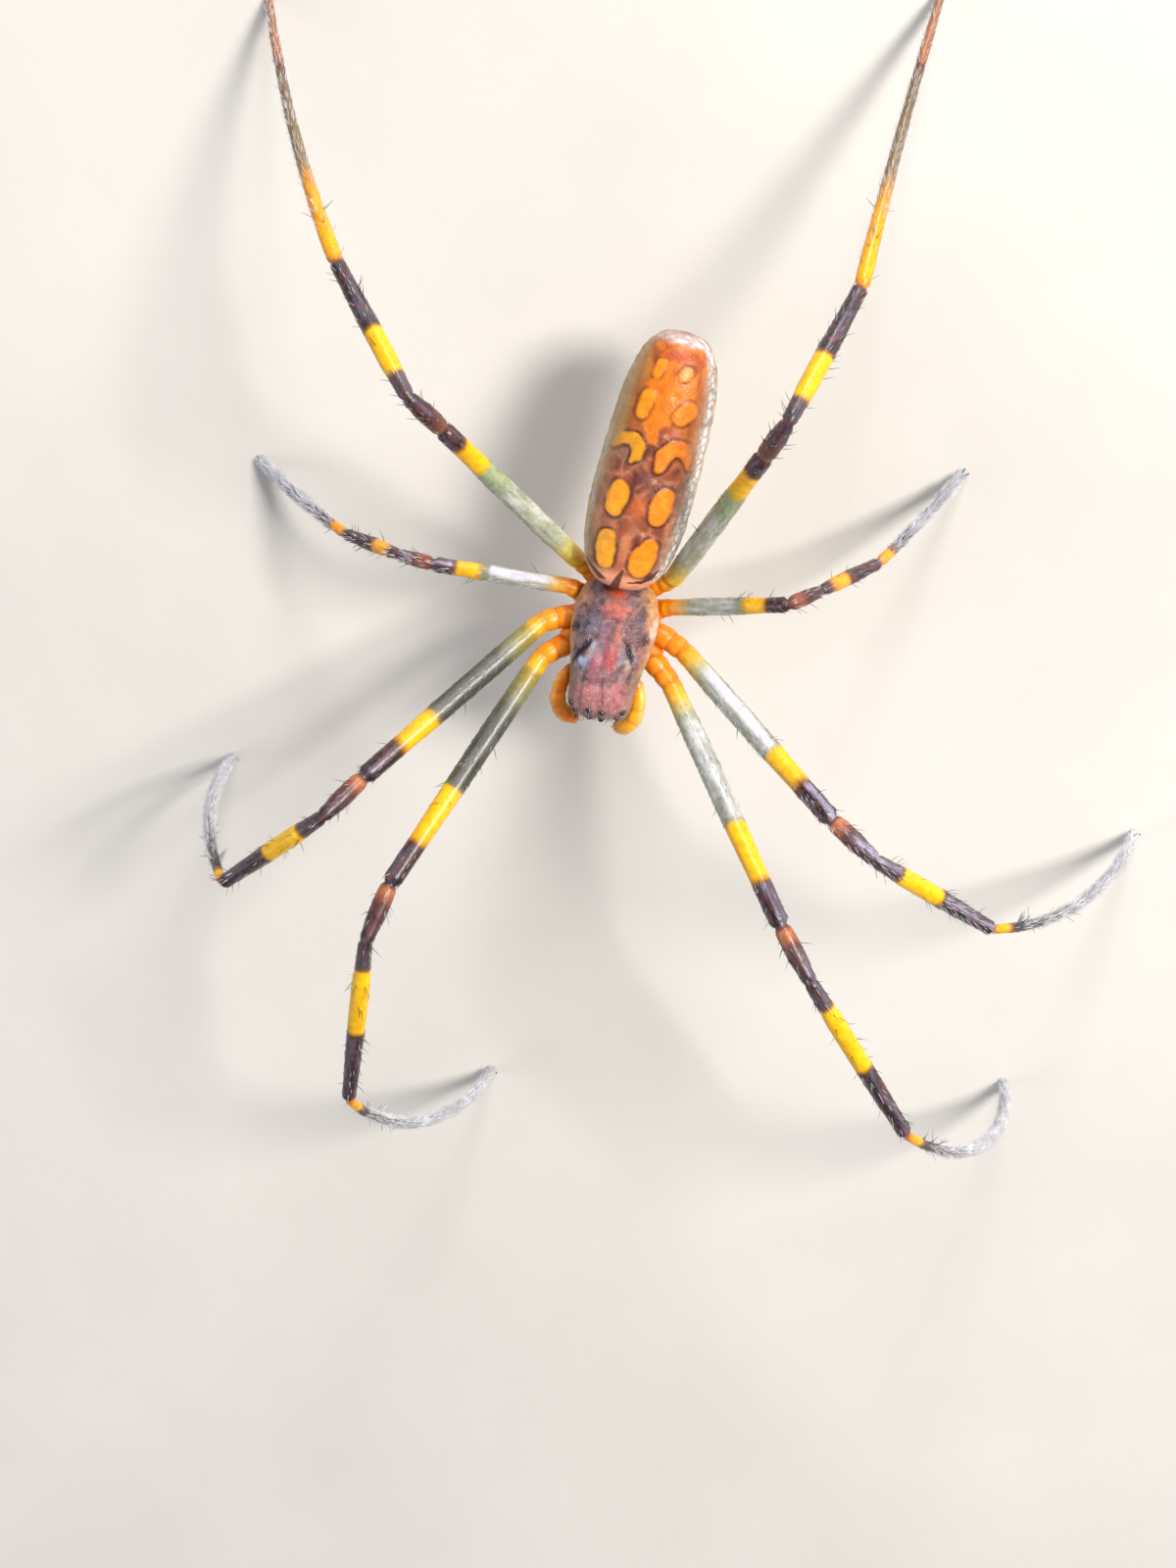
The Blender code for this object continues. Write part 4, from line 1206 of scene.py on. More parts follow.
        # Painted shadows where the abdomen's front meets the chest, laid in the camera's view.
        for mark in self.NOSE:
            paint.lay(mark.colour, 0.92 * mark.cover(right + 0.06 * fine, up + 0.06 * fine) * fade(
                -4.0, -5.0, flat[:, 1]) * fade(-0.6, 0.2, flat[:, 2]))
        cap = fade(5.62, 5.92, y + 0.2 * wobble) * fade(-0.1, 0.9, flat[:, 2] + 0.5 * wobble)
        paint.lay("#C4B2B2", 0.9 * cap)
        paint.lay("#8E6A70", 0.6 * cap * fade(0.5, 0.7, cloud(flat, 0.4, 28)))
        paint.lay("#EFE8E6", 0.6 * cap * fade(0.5, 0.7, cloud(flat, 0.25, 18)))
        return paint.tint

    def flank(self, paint: Paint, flat: np.ndarray, high: np.ndarray, wobble: np.ndarray) -> None:
        """Lays the rim, the streaked flanks and the belly over the back's colours, with painted highlights along the
        left rim.
        """
        level = high + 0.12 * wobble
        rim = bump(level, 0.34, 0.2)
        side = fade(0.24, 0.08, level)
        slant = flat[:, 1] * 1.15 + flat[:, 2] * 0.9
        streak = 0.5 + 0.5 * np.sin(slant * 4.4 + 5.0 * wobble)
        paint.lay("#B9AE88", 0.9 * rim)
        paint.lay("#A87C40", 0.85 * rim * fade(0.7, 1.9, flat[:, 1]) * (flat[:, 0] < 0))
        paint.lay("#D8BE78", side)
        paint.lay("#7A4030", 0.85 * side * fade(0.5, 0.75, streak) * fade(0.2, 0.45, cloud(flat, 0.9, 13)))
        paint.lay("#C88A3A", 0.5 * side * fade(0.5, 0.8, cloud(flat, 0.5, 14)))
        # Painted highlights: a lavender-grey sheen and white glinting beads along the left rim, with few beads on the
        # right.
        left = fade(-0.5, 1.0, flat[:, 0])
        paint.lay("#A89CA0", 0.8 * left * bump(level, 0.36, 0.17))
        glint_beads = fade(0.15, 0.45, cells(flat, 0.42, 19)) * bump(level, 0.34, 0.18)
        paint.lay("#F8F6F4", 0.95 * glint_beads * (0.12 + 0.88 * left))
        belly = fade(-0.55, -0.8, high + 0.15 * wobble)
        paint.lay("#4A2A22", belly)
        paint.lay("#D8B050", 0.8 * belly * bump(np.abs(flat[:, 0]), 1.05, 0.16) * fade(4.2, 3.4, flat[:, 1]))
        paint.lay("#C09A50", 0.7 * belly * fade(0.62, 0.72, cloud(flat, 0.45, 15)))
        paint.lay("#A83A18", 0.85 * belly * bump(flat[:, 1], 4.4, 0.9))
        nose = fade(-5.6, -6.0, flat[:, 1] - self.pattern_shift)
        paint.lay("#EEA078", 0.92 * nose)

    def build(self, finishes: Finishes, coat: Coat, hairs: dict[str, Hair]) -> None:
        """Makes the abdomen's skin and its hair.

        Args:
            finishes: the materials.
            coat: what grows the hair.
            hairs: the kinds of hair by name.
        """
        points, _, angle = self.surface()
        ahead = np.gradient(points, axis=0)
        round_it = np.roll(points, -1, 1) - np.roll(points, 1, 1)
        out = np.cross(round_it, ahead)
        out /= np.linalg.norm(out, axis=-1)[..., None]
        out *= np.sign(np.einsum("ijk,ijk->ij", out, points))[..., None].clip(-1, 1)
        shaped = points + out * self.relief(points, angle)[..., None]
        skin = Skin(moved(ABDOMEN, shaped))
        ahead /= np.linalg.norm(ahead, axis=-1)[..., None]
        flat, flat_angle = skin.filled(shaped), skin.filled(angle)
        flat_angle[-2:] = 0.2
        skin.values["flow"] = moved(ABDOMEN.to_3x3().to_4x4(), skin.filled(ahead))
        skin.values["tint"] = self.markings(flat, flat_angle)
        high = np.sin(flat_angle)
        rim = bump(high, 0.2, 0.4)
        left = fade(-0.5, 1.0, flat[:, 0])
        skin.values["cover_rim"] = 0.12 + 0.6 * rim * (0.3 + 0.7 * left) + 0.5 * fade(5.4, 6.0, flat[:, 1])
        body = skin.build("skin_abdomen", finishes.abdomen)
        settle(body, "abdomen", "abdomen")
        settle(coat.grow(body, hairs["abdomen"], "cover_rim"), "abdomen")


@dataclass(frozen=True)
class Station:
    """One cross-section of the carapace: its place along the body, half its width and its top."""

    y: float
    half_width: float
    top: float


@dataclass
class Carapace:
    """The shield over head and chest, with its grooves, its eyes' mounds and its coat."""

    margin: float = -0.5
    roundness: float = 2.3
    coat_depth: float = 0.05
    rows: int = 190
    columns: int = 150

    STATIONS = (
        Station(-3.72, 0.95, 0.2), Station(-3.5, 1.42, 0.8), Station(-3.05, 1.66, 1.3),
        Station(-2.2, 1.72, 1.6), Station(-1.0, 1.9, 1.4), Station(0.2, 2.15, 1.0),
        Station(1.5, 2.2, 0.85), Station(2.6, 1.95, 0.5), Station(3.2, 1.6, 0.1), Station(3.5, 1.1, -0.2),
    )
    BLOTS = (
        Blot(-1.25, 1.5, 0.75, 0.95, "#625A70", 0.75), Blot(1.2, 1.35, 0.65, 0.85, "#70505A", 0.75),
        Blot(-1.4, 1.75, 0.24, 0.2, "#2E2438", 0.8), Blot(1.36, 2.05, 0.28, 0.32, "#38222A", 0.85),
        Blot(-1.76, 0.82, 0.24, 0.3, "#201420", 1.0), Blot(1.68, 0.78, 0.18, 0.32, "#40201E", 0.85),
        Blot(-0.95, 1.15, 0.3, 0.35, "#8E8498", 0.6), Blot(-1.5, 1.25, 0.2, 0.2, "#8E8898", 0.6),
        Blot(1.1, 1.3, 0.3, 0.35, "#8A6A6C", 0.6), Blot(-1.7, 2.2, 0.42, 0.6, "#C88E70", 0.85),
        Blot(1.5, 2.75, 0.42, 0.5, "#CC9650", 0.85), Blot(1.85, 1.8, 0.26, 0.6, "#D69A66", 0.85),
        Blot(-1.3, -1.8, 0.32, 0.65, "#8C8278", 0.75), Blot(1.5, -1.4, 0.26, 0.75, "#94744E", 0.75),
        Blot(-0.62, -2.2, 0.55, 0.6, "#C87C7A", 0.8), Blot(0.85, -1.9, 0.5, 0.7, "#C67678", 0.75),
        Blot(-0.32, 0.9, 0.2, 0.75, "#A6788C", 0.85), Blot(0.4, 0.65, 0.22, 0.95, "#C47C68", 0.9),
        Blot(0.35, -0.4, 0.26, 0.75, "#CC5C58", 0.85), Blot(-0.4, -0.65, 0.26, 0.7, "#B46870", 0.8),
        Blot(0.02, 0.6, 0.09, 0.8, "#8E5464", 0.7), Blot(-0.02, -0.3, 0.11, 0.8, "#AC2C44", 0.95),
        # Painted highlights: the next three blots, lavender-blue and grey-white on the right and pale olive-white on
        # the left, beside the groove.
        Blot(-1.25, -0.7, 0.4, 0.34, "#AEB8DA", 0.9), Blot(-0.76, 0.0, 0.17, 0.55, "#B8AEB4", 0.8),
        Blot(1.15, -0.25, 0.22, 0.48, "#BCB098", 0.8), Blot(0.15, -1.35, 0.5, 0.13, "#8A3C46", 0.65),
        Blot(0.2, -2.1, 0.07, 0.75, "#8C3C4C", 0.7), Blot(-0.55, -1.45, 0.1, 0.4, "#824454", 0.5),
        Blot(0.0, 1.62, 0.5, 0.1, "#A83E44", 0.6), Blot(0.06, 2.08, 0.78, 0.44, "#DC7C6A", 1.0),
        # The last blot is a painted glint, pale pink-white on the left margin.
        Blot(-0.08, 2.88, 0.55, 0.3, "#D0501C", 1.0), Blot(2.1, 1.35, 0.2, 0.55, "#F2DCD6", 0.8),
    )

    @staticmethod
    def blend(values: list[float], place: float) -> float:
        """A smooth reading between equally spaced values.

        Args:
            values: the values.
            place: from 0 to their count less one.

        Returns:
            The value there.
        """
        last = len(values) - 1
        i = min(int(place), last - 1)
        t = place - i
        before, low, high = values[max(i - 1, 0)], values[i], values[i + 1]
        after = values[min(i + 2, last)]
        return (low * (2 * t ** 3 - 3 * t ** 2 + 1) + (high - before) / 2 * (t ** 3 - 2 * t ** 2 + t)
                + high * (3 * t ** 2 - 2 * t ** 3) + (after - low) / 2 * (t ** 3 - t ** 2))

    def station(self, place: float) -> Station:
        """The cross-section at a place counted in stations."""
        read = [[getattr(s, key) for s in self.STATIONS] for key in ("y", "half_width", "top")]
        return Station(*[self.blend(column, place) for column in read])

    def height(self, x: float, y: float) -> float:
        """The height of the carapace's top over a point."""
        low, high = 0.0, len(self.STATIONS) - 1.0
        for _ in range(HALVINGS):
            middle = (low + high) / 2
            if self.station(middle).y < y:
                low = middle
            else:
                high = middle
        station = self.station(low)
        inside = max(0.0, 1 - (abs(x) / station.half_width) ** self.roundness)
        return self.margin + (station.top - self.margin) * inside ** (1 / self.roundness)

    def relief(self, x: np.ndarray, y: np.ndarray) -> np.ndarray:
        """How far the shield stands in or out at a place seen from above."""
        side = np.abs(x)
        height = -0.16 * self.groove(x, y, 0.11)
        height -= 0.16 * np.exp(-(x / 0.34) ** 2 - ((y - 1.55 + 0.25 * side) / 0.12) ** 2)
        for slope in (0.25, 0.95, 2.2):
            off = (y - 1.5) - (side - 0.3) * slope * 0.7
            height -= 0.05 * bump(off / math.hypot(1, slope), 0.0, 0.09) * fade(0.35, 0.6, side) * fade(2.1, 1.8, side)
        height -= 0.05 * bump(x, 0, 0.09) * fade(-3.3, -2.9, y) * fade(-1.0, -1.6, y)
        height += 0.1 * np.exp(-((side - 0.5) / 0.26) ** 2 - ((y + 0.55) / 0.34) ** 2)
        height -= 0.05 * bump(side, 0.98, 0.14) * fade(-3.2, -2.8, y) * fade(-0.6, -1.2, y)
        for eye in EYES.values():
            far = np.hypot(side - eye.x, y - eye.y) / (eye.radius * 1.9)
            height += 0.1 * np.exp(-far ** 2)
        return height

    @staticmethod
    def groove(x: np.ndarray, y: np.ndarray, width: float) -> np.ndarray:
        """The groove between head and chest, from the middle outwards and forwards on each side."""
        side = np.abs(x)
        run = 1.05 - 0.35 * side - 0.52 * side ** 2
        ends = np.where(x > 0, fade(0.45, 0.8, x) * fade(1.5, 1.15, x), fade(0.5, 1.0, side) * fade(2.1, 1.8, side))
        return bump((y - run) / 1.3, 0, width) * ends

    def markings(self, points: np.ndarray) -> tuple[np.ndarray, np.ndarray]:
        """The colours of the shield, and how thick the silver hair lies on it.

        Args:
            points: the vertices in the prosoma's own frame.

        Returns:
            The colour and the hair's cover at each vertex.
        """
        wobble, fine = cloud(points, 0.5, 21) - 0.5, cloud(points, 0.2, 22) - 0.5
        x, y = points[:, 0] + 0.25 * wobble + 0.12 * fine, points[:, 1] + 0.25 * fine + 0.15 * wobble
        edge = np.interp(points[:, 1], [s.y for s in self.STATIONS], [s.half_width for s in self.STATIONS])
        out = np.abs(points[:, 0]) / edge
        paint = Paint(len(points), "#8A6A6E")
        paint.lay("#5C4650", 0.75 * fade(0.5, 0.72, cloud(points, 0.42, 23)))
        paint.lay("#948898", 0.7 * fade(0.54, 0.75, cloud(points, 0.55, 24)))
        paint.lay("#A46A60", 0.55 * fade(0.5, 0.8, cloud(points, 0.8, 25)))
        head = fade(-1.5, -2.3, y)
        paint.lay("#CC8280", 0.75 * head)
        margin = fade(0.78, 0.92, out + 0.12 * wobble)
        paint.lay("#DDA070", 0.9 * margin * fade(-1.4, -0.7, y))
        paint.lay("#A07C58", 0.6 * margin * fade(-1.2, -1.8, y))
        for blot in self.BLOTS:
            paint.lay(blot.colour, blot.cover(x, y))
        paint.lay("#402834", 0.66 * fade(0.52, 0.72, cloud(points, 0.38, 26)) * (1 - margin) * (1 - 0.7 * head) * (
            0.35 + 0.65 * fade(0.35, 0.8, np.abs(x))))
        groove = self.groove(points[:, 0] + 0.1 * fine, points[:, 1] + 0.1 * wobble, 0.2)
        side = np.abs(points[:, 0])
        mark = groove * fade(0.78, 1.0, side) * fade(1.78, 1.55, side)
        paint.lay("#241428", 0.97 * np.clip(1.6 * mark, 0, 1))
        for eye in EYES.values():
            far = np.hypot(np.abs(points[:, 0]) - eye.x, points[:, 1] - eye.y) / (eye.radius * 1.5)
            paint.lay("#24141A", 0.9 * np.exp(-far ** 4))
        under = fade(self.margin + 0.12, self.margin, points[:, 2])
        paint.lay("#B87848", 0.8 * under)
        stripe = fade(0.62, 0.4, np.abs(x)) * fade(2.6, 2.2, y) * fade(-1.9, -1.2, y)
        bare = np.clip(stripe * 0.65 + groove + 0.45 * head, 0, 0.9)
        cover = (1 - bare) * (0.2 + 0.8 * fade(0.4, 0.6, cloud(points, 0.4, 27))) * (1 - under)
        return paint.tint, cover

    def build(self, finishes: Finishes, coat: Coat, hairs: dict[str, Hair]) -> None:
        """Makes the shield's skin and its silver hair.

        Args:
            finishes: the materials.
            coat: what grows the hair.
            hairs: the kinds of hair by name.
        """
        last = len(self.STATIONS) - 1
        places = np.concatenate([[0.004, 0.02, 0.05], np.linspace(0.09, last - 0.05, self.rows), [last - 0.01]])
        top = np.linspace(0, math.pi, self.columns - 30)
        angles = np.concatenate([top, np.linspace(math.pi, 2 * math.pi, 32)[1:-1]])
        rings = []
        for place in places:
            s = self.station(place)
            half, rise = s.half_width - self.coat_depth, s.top - self.margin - self.coat_depth
            x = half * np.sign(np.cos(angles)) * np.abs(np.cos(angles)) ** (2 / self.roundness)
            z = np.where(np.sin(angles) > 1e-9, self.margin + rise * np.abs(np.sin(angles)) ** (2 / self.roundness),
                         self.margin + 0.01 + 0.05 * np.abs(np.sin(angles)) ** 0.5)
            rings.append(np.stack([x, np.full_like(x, s.y), z], -1))
        points = np.array(rings)
        points[..., 1] += self.coat_depth * fade(-3.0, -3.72, points[..., 1]) - self.coat_depth * fade(
            2.8, 3.5, points[..., 1])
        upper = (np.sin(angles) > 0.02)[None, :] * fade(self.margin, self.margin + 0.5, points[..., 2])
        points[..., 2] += upper * self.relief(points[..., 0], points[..., 1])
        skin = Skin(moved(PROSOMA, points))
        flat = skin.filled(points)
        tint, cover = self.markings(flat)
        ahead = np.stack([-0.35 * flat[:, 0], np.full(len(flat), -1.0), -0.15 * np.ones(len(flat))], 1)
        skin.values["flow"] = moved(PROSOMA.to_3x3().to_4x4(), ahead / np.linalg.norm(ahead, axis=1)[:, None])
        skin.values["tint"] = tint
        skin.values["cover_felt"] = cover
        body = skin.build("skin_carapace", finishes.carapace)
        settle(body, "carapace", "carapace")
        settle(coat.grow(body, hairs["felt"], "cover_felt"), "carapace")
        settle(coat.grow(body, hairs["glint"], "cover_felt"), "carapace")


@dataclass(frozen=True)
class Eye:
    """One eye of a pair: its place on the head, seen from above, and its radius."""

    x: float
    y: float
    radius: float


EYES = {
    "front_median": Eye(0.3, -3.56, 0.16),
    "rear_median": Eye(0.33, -3.1, 0.15),
    "front_lateral": Eye(1.08, -3.38, 0.13),
    "rear_lateral": Eye(1.32, -3.02, 0.13),
}


@dataclass
class Head:
    """The eyes, the chelicerae with their fangs, the palps and the mouth plates."""

    carapace: Carapace

    PALP = ((1.3, -1.65, -1.35), (1.65, -1.75, -1.25), (1.95, -2.2, -1.02), (2.08, -2.9, -0.95),
            (2.08, -3.5, -0.95), (1.85, -4.0, -1.08), (1.4, -4.35, -1.35), (0.95, -4.45, -1.8))
    PALP_GIRTHS = (0.24, 0.31, 0.37, 0.41, 0.43, 0.43, 0.42, 0.22)
    PALP_SPREAD = {Side.LEFT: 0.92, Side.RIGHT: 1.05}
    CHELICERA = ((0.62, -2.85, -1.05), (0.66, -3.2, -1.2), (0.7, -3.5, -1.7), (0.68, -3.6, -2.35),
                 (0.6, -3.5, -2.95))
    CHELICERA_GIRTHS = (0.3, 0.46, 0.54, 0.47, 0.32)
    FANG = ((0.57, -3.45, -2.85), (0.53, -3.33, -3.2), (0.47, -3.1, -3.38), (0.4, -2.85, -3.35),
            (0.34, -2.65, -3.2))
    FANG_GIRTHS = (0.19, 0.18, 0.15, 0.1, 0.03)
    ENDITE = ((0.42, -1.97, -1.2), (0.44, -2.25, -1.5), (0.36, -2.48, -1.75))
    ENDITE_GIRTHS = (0.28, 0.3, 0.2)
    LIP = ((0.0, -1.93, -1.35), (0.0, -2.12, -1.5), (0.0, -2.32, -1.6))
    LIP_GIRTHS = (0.17, 0.17, 0.1)

    def routed(self, route: tuple, sign: float) -> np.ndarray:
        """A route given for the left side, as world points on the wanted side."""
        return moved(PROSOMA, np.array(route) * (sign, 1, 1))

    def eyes(self, finishes: Finishes) -> None:
        """Eight black beads, each half sunk in its mound."""
        for pair, eye in EYES.items():
            for side in Side:
                middle = Vector((side.value * eye.x, eye.y, self.carapace.height(eye.x, eye.y)))
                outward = Vector((side.value * 0.25 * eye.x, -0.45, 1)).normalized()
                start, end = middle - outward * eye.radius, middle + outward * eye.radius
                route = moved(PROSOMA, np.array([start, middle, end]))
                ball = Limb(route, np.full(3, eye.radius), step=0.03, rounding=0.01, sides=28,
                            domes=(eye.radius, eye.radius))
                piece = ball.skin().build(f"cornea_{pair}_{side.word}", finishes.eye)
                settle(piece, "eyes", f"eye_{pair}_{side.word}")

    def palps(self, finishes: Finishes, coat: Coat, hairs: dict[str, Hair]) -> None:
        """The two palps, bent round the head, orange with paler edges."""
        for side in Side:
            spread = side.value * self.PALP_SPREAD[side]
            limb = Limb(self.routed(self.PALP, spread), np.array(self.PALP_GIRTHS), step=0.07,
                        rounding=0.3, domes=(0.15, 0.22))
            joints = np.array([0.8, 1.9, 2.6, 3.6])
            for joint in joints:
                limb.girth = limb.girth * (1 - 0.12 * bump(limb.at, joint, 0.09))
            skin = limb.skin(flat=0.85)
            # Painted shade: the right palp's ground is a darker orange than the left's.
            ground = "#FA8E06" if side is Side.RIGHT else "#FFB010"
            paint = Paint(len(skin.points), ground)
            paint.lay("#E87C0C", 0.6 * fade(0.5, 0.8, cloud(skin.points, 0.4, 31)))
            along = limb.spread(skin, limb.at / limb.length)
            paint.lay("#FFD27A", 0.6 * fade(0.4, 0.95, np.abs(limb.siding)))
            paint.lay("#B0602C", 0.45 * fade(0.93, 1.0, along))
            paint.lay("#C86410", 0.7 * fade(0.25, 0.05, along))
            skin.values["tint"] = paint.tint
            skin.values["cover_down"] = 0.25 + 1.4 * fade(0.6, 0.95, along)
            body = skin.build(f"skin_palp_{side.word}", finishes.palp)
            settle(body, "palps", f"palp_{side.word}")
            settle(coat.grow(body, hairs["down"], "cover_down"), "palps")

    def jaws(self, finishes: Finishes, coat: Coat, hairs: dict[str, Hair]) -> None:
        """The chelicerae, stout and dark, with a fang folded under each."""
        for side in Side:
            limb = Limb(self.routed(self.CHELICERA, side.value), np.array(self.CHELICERA_GIRTHS), step=0.07,
                        rounding=0.3, sides=36, domes=(0.2, 0.25))
            skin = limb.skin()
            along = limb.spread(skin, limb.at / limb.length)
            paint = Paint(len(skin.points), "#3A1C1A")
            paint.lay("#7A3A24", 0.8 * fade(0.35, 0.05, along))
            paint.lay("#1A0C0E", 0.8 * fade(0.6, 0.9, along))
            skin.values["tint"] = paint.tint
            skin.values["cover_bristle"] = np.full(len(skin.points), 3.0)
            body = skin.build(f"skin_chelicera_{side.word}", finishes.jaw)
            settle(body, "jaws", f"chelicera_{side.word}")
            settle(coat.grow(body, hairs["bristle"], "cover_bristle"), "jaws")
            fang = Limb(self.routed(self.FANG, side.value), np.array(self.FANG_GIRTHS), step=0.04,
                        rounding=0.15, sides=20, domes=(0.12, 0.03))
            settle(fang.skin().build(f"sharp_fang_{side.word}", finishes.fang), "jaws", f"fang_{side.word}")

    def mouth(self, finishes: Finishes) -> None:
        """The lower lip between the two mouth plates."""
        pieces = []
        routes = [(self.ENDITE, self.ENDITE_GIRTHS, 1.0), (self.ENDITE, self.ENDITE_GIRTHS, -1.0),
                  (self.LIP, self.LIP_GIRTHS, 1.0)]
        for route, girths, sign in routes:
            limb = Limb(self.routed(route, sign), np.array(girths), step=0.05, rounding=0.15,
                        domes=(0.12, 0.15))
            skin = limb.skin(flat=0.75)
            along = limb.spread(skin, limb.at / limb.length)
            paint = Paint(len(skin.points), "#3E2420").lay("#C89A60", 0.9 * fade(0.75, 1.0, along))
            skin.values["tint"] = paint.tint
            pieces.append(skin.build("mouth_plate", finishes.underside))
        settle(joined(pieces, "mouth_plates"), "underside", "mouthparts")

    def build(self, finishes: Finishes, coat: Coat, hairs: dict[str, Hair]) -> None:
        """Makes all of the head but the shield.

        Args:
            finishes: the materials.
            coat: what grows the hair.
            hairs: the kinds of hair by name.
        """
        self.eyes(finishes)
        self.jaws(finishes, coat, hairs)
        self.palps(finishes, coat, hairs)
        self.mouth(finishes)


@dataclass
class Underside:
    """The chest plate, the waist and the spinnerets."""

    top: float = -0.65

    STERNUM = ((-1.75, 0.5), (-1.5, 0.9), (-0.8, 1.1), (0.2, 1.1), (1.0, 0.8), (1.7, 0.45), (2.5, 0.25))
    WAIST = ((2.7, -1.0), (3.0, -0.98), (3.45, -0.9), (3.7, -0.85))
    CONES = ((0.38, -0.28, 0.62, 0.3, 1.15), (0.33, 0.3, 0.56, 0.26, 1.05), (0.12, 0.02, 0.3, 0.16, 0.75))

    def sternum(self, finishes: Finishes, coat: Coat, hairs: dict[str, Hair]) -> None:
        """The heart-shaped plate, with a low mound by each coxa."""
        rows, columns = 90, 72
        y = np.linspace(-1.73, 2.46, rows)
        half = np.interp(y, *zip(*self.STERNUM))
        half = Limb.softened(np.stack([half] * 3, 1), 4.0)[:, 0] * np.sqrt(
            np.clip(1 - ((y - 0.365) / 2.11) ** 8, 0, 1))
        deep = self.top - 0.86 - 0.48 * half
        angles = np.linspace(0, 2 * math.pi, columns, endpoint=False)
        points = np.stack([half[:, None] * np.cos(angles), np.repeat(y[:, None], columns, 1),
                           ((self.top + deep) / 2)[:, None] + ((self.top - deep) / 2)[:, None] * np.sin(angles)], -1)
        below = fade(0.0, -0.5, np.sin(angles))[None, :]
        for along in (-1.1, -0.1, 0.9, 1.6):
            mound = np.exp(-((np.abs(points[..., 0]) - 0.75 * np.interp(along, y, half)) / 0.22) ** 2
                           - ((points[..., 1] - along) / 0.25) ** 2)
            points[..., 2] -= 0.1 * mound * below
        skin = Skin(moved(PROSOMA, points))
        flat = skin.filled(points)
        paint = Paint(len(flat), "#4A2A24")
        paint.lay("#7A4A30", 0.7 * fade(0.45, 0.7, cloud(flat, 0.6, 41)))
        paint.lay("#E0B850", 0.85 * bump(flat[:, 0], 0, 0.2) * fade(-1.2, -0.6, flat[:, 1]) * fade(1.6, 1.0, flat[:, 1]))
        skin.values["tint"] = paint.tint
        skin.values["flow"] = np.tile(aimed(PROSOMA, (0, 0.95, -0.3)), (len(flat), 1))
        skin.values["cover_down"] = 1.2 * fade(self.top - 0.4, self.top - 0.7, flat[:, 2])
        body = skin.build("skin_sternum", finishes.underside)
        settle(body, "underside", "sternum")
        settle(self.side_walls(Carapace()).build("skin_side_walls", finishes.underside), "underside")
        settle(coat.grow(body, hairs["down"], "cover_down"), "underside")

    def side_walls(self, carapace: Carapace) -> Skin:
        """The soft skin between the shield's margin and the roots of the legs.

        Args:
            carapace: the shield above it.

        Returns:
            The skin.
        """
        y = np.linspace(-3.0, 3.2, 60)
        edge = np.interp(y, [s.y for s in carapace.STATIONS], [s.half_width for s in carapace.STATIONS])
        edge = (edge - 0.14) * np.interp(y, [-3.0, -2.2, -1.6, 3.2], [0.62, 0.72, 1.0, 0.9])
        edge += 0.75 * bump(y, 0.0, 0.3) + 0.35 * bump(y, 1.5, 0.35)
        angles = np.linspace(0, 2 * math.pi, 40, endpoint=False)
        deep = np.interp(y, [-3.0, -1.8, 2.0, 3.2], [0.3, 0.46, 0.46, 0.3])
        across = np.sign(np.cos(angles)) * np.abs(np.cos(angles)) ** 0.6
        high = np.sign(np.sin(angles)) * np.abs(np.sin(angles)) ** 0.6
        points = np.stack([edge[:, None] * across, np.repeat(y[:, None], 40, 1),
                           -0.46 - deep[:, None] + deep[:, None] * high], -1)
        skin = Skin(moved(PROSOMA, points))
        skin.points += 0.05 * (cloud(skin.points, 0.5, 43) - 0.5)[:, None]
        paint = Paint(len(skin.points), "#A8622C")
        paint.lay("#6E4430", 0.7 * fade(0.45, 0.7, cloud(skin.points, 0.5, 44)))
        paint.lay("#EC8C0A", 0.9 * fade(1.8, 2.1, np.abs(skin.filled(points)[:, 0])))
        skin.values["tint"] = paint.tint
        return skin

    def waist(self, finishes: Finishes) -> None:
        """The ringed tube between chest and abdomen."""
        route = moved(PROSOMA, np.array([(0, y, z) for y, z in self.WAIST]))
        limb = Limb(route, np.array([0.24, 0.31, 0.31, 0.26]), step=0.03, rounding=0.1, domes=(0.08, 0.08))
        limb.girth = limb.girth * (1 + 0.05 * np.sin(limb.at * 2 * math.pi / 0.22))
        skin = limb.skin()
        skin.values["tint"] = Paint(len(skin.points), "#7A3E2C").tint
        settle(skin.build("skin_pedicel", finishes.underside), "underside", "pedicel")

    def spinnerets(self, finishes: Finishes, coat: Coat, hairs: dict[str, Hair]) -> None:
        """Three pairs of blunt cones and the tail cone, on a low round base."""
        pieces = []
        routes = [(sign * x, y, wide, thin, tall, sign * 0.16) for x, y, wide, thin, tall in self.CONES
                  for sign in (-1, 1)]
        routes.append((0, 0.62, 0.44, 0.26, 0.8, 0.0))
        routes.append((0, 0, 1.6, 1.4, 0.5, 0.0))
        for x, y, wide, thin, tall, inward in routes:
            route = np.array([(x, y, 0.12), (x, y, -tall * 0.5), (x - inward, y * 0.85, -tall)])
            limb = Limb(moved(SPINNERETS, route), np.array([wide, (wide + thin) / 2, thin]) / 2, step=0.04,
                        rounding=0.12, sides=22, domes=(0.08, min(thin / 2, 0.2)))
            limb.girth = limb.girth * (1 - 0.1 * bump(limb.at, 0.6 * limb.length, 0.05))
            skin = limb.skin()
            along = limb.spread(skin, limb.at / limb.length)
            paint = Paint(len(skin.points), "#8A3A1C" if wide > 1 else "#5A3020")
            paint.lay("#2A1814", 0.9 * fade(0.55, 0.75, along) * (wide < 1))
            paint.lay("#D0B080", 0.8 * fade(0.93, 1.0, along) * (wide < 1))
            skin.values["tint"] = paint.tint
            skin.values["cover_down"] = np.full(len(skin.points), 1.3)
            pieces.append(skin.build("spinning_cone", finishes.underside))
        body = joined(pieces, "skin_spinnerets")
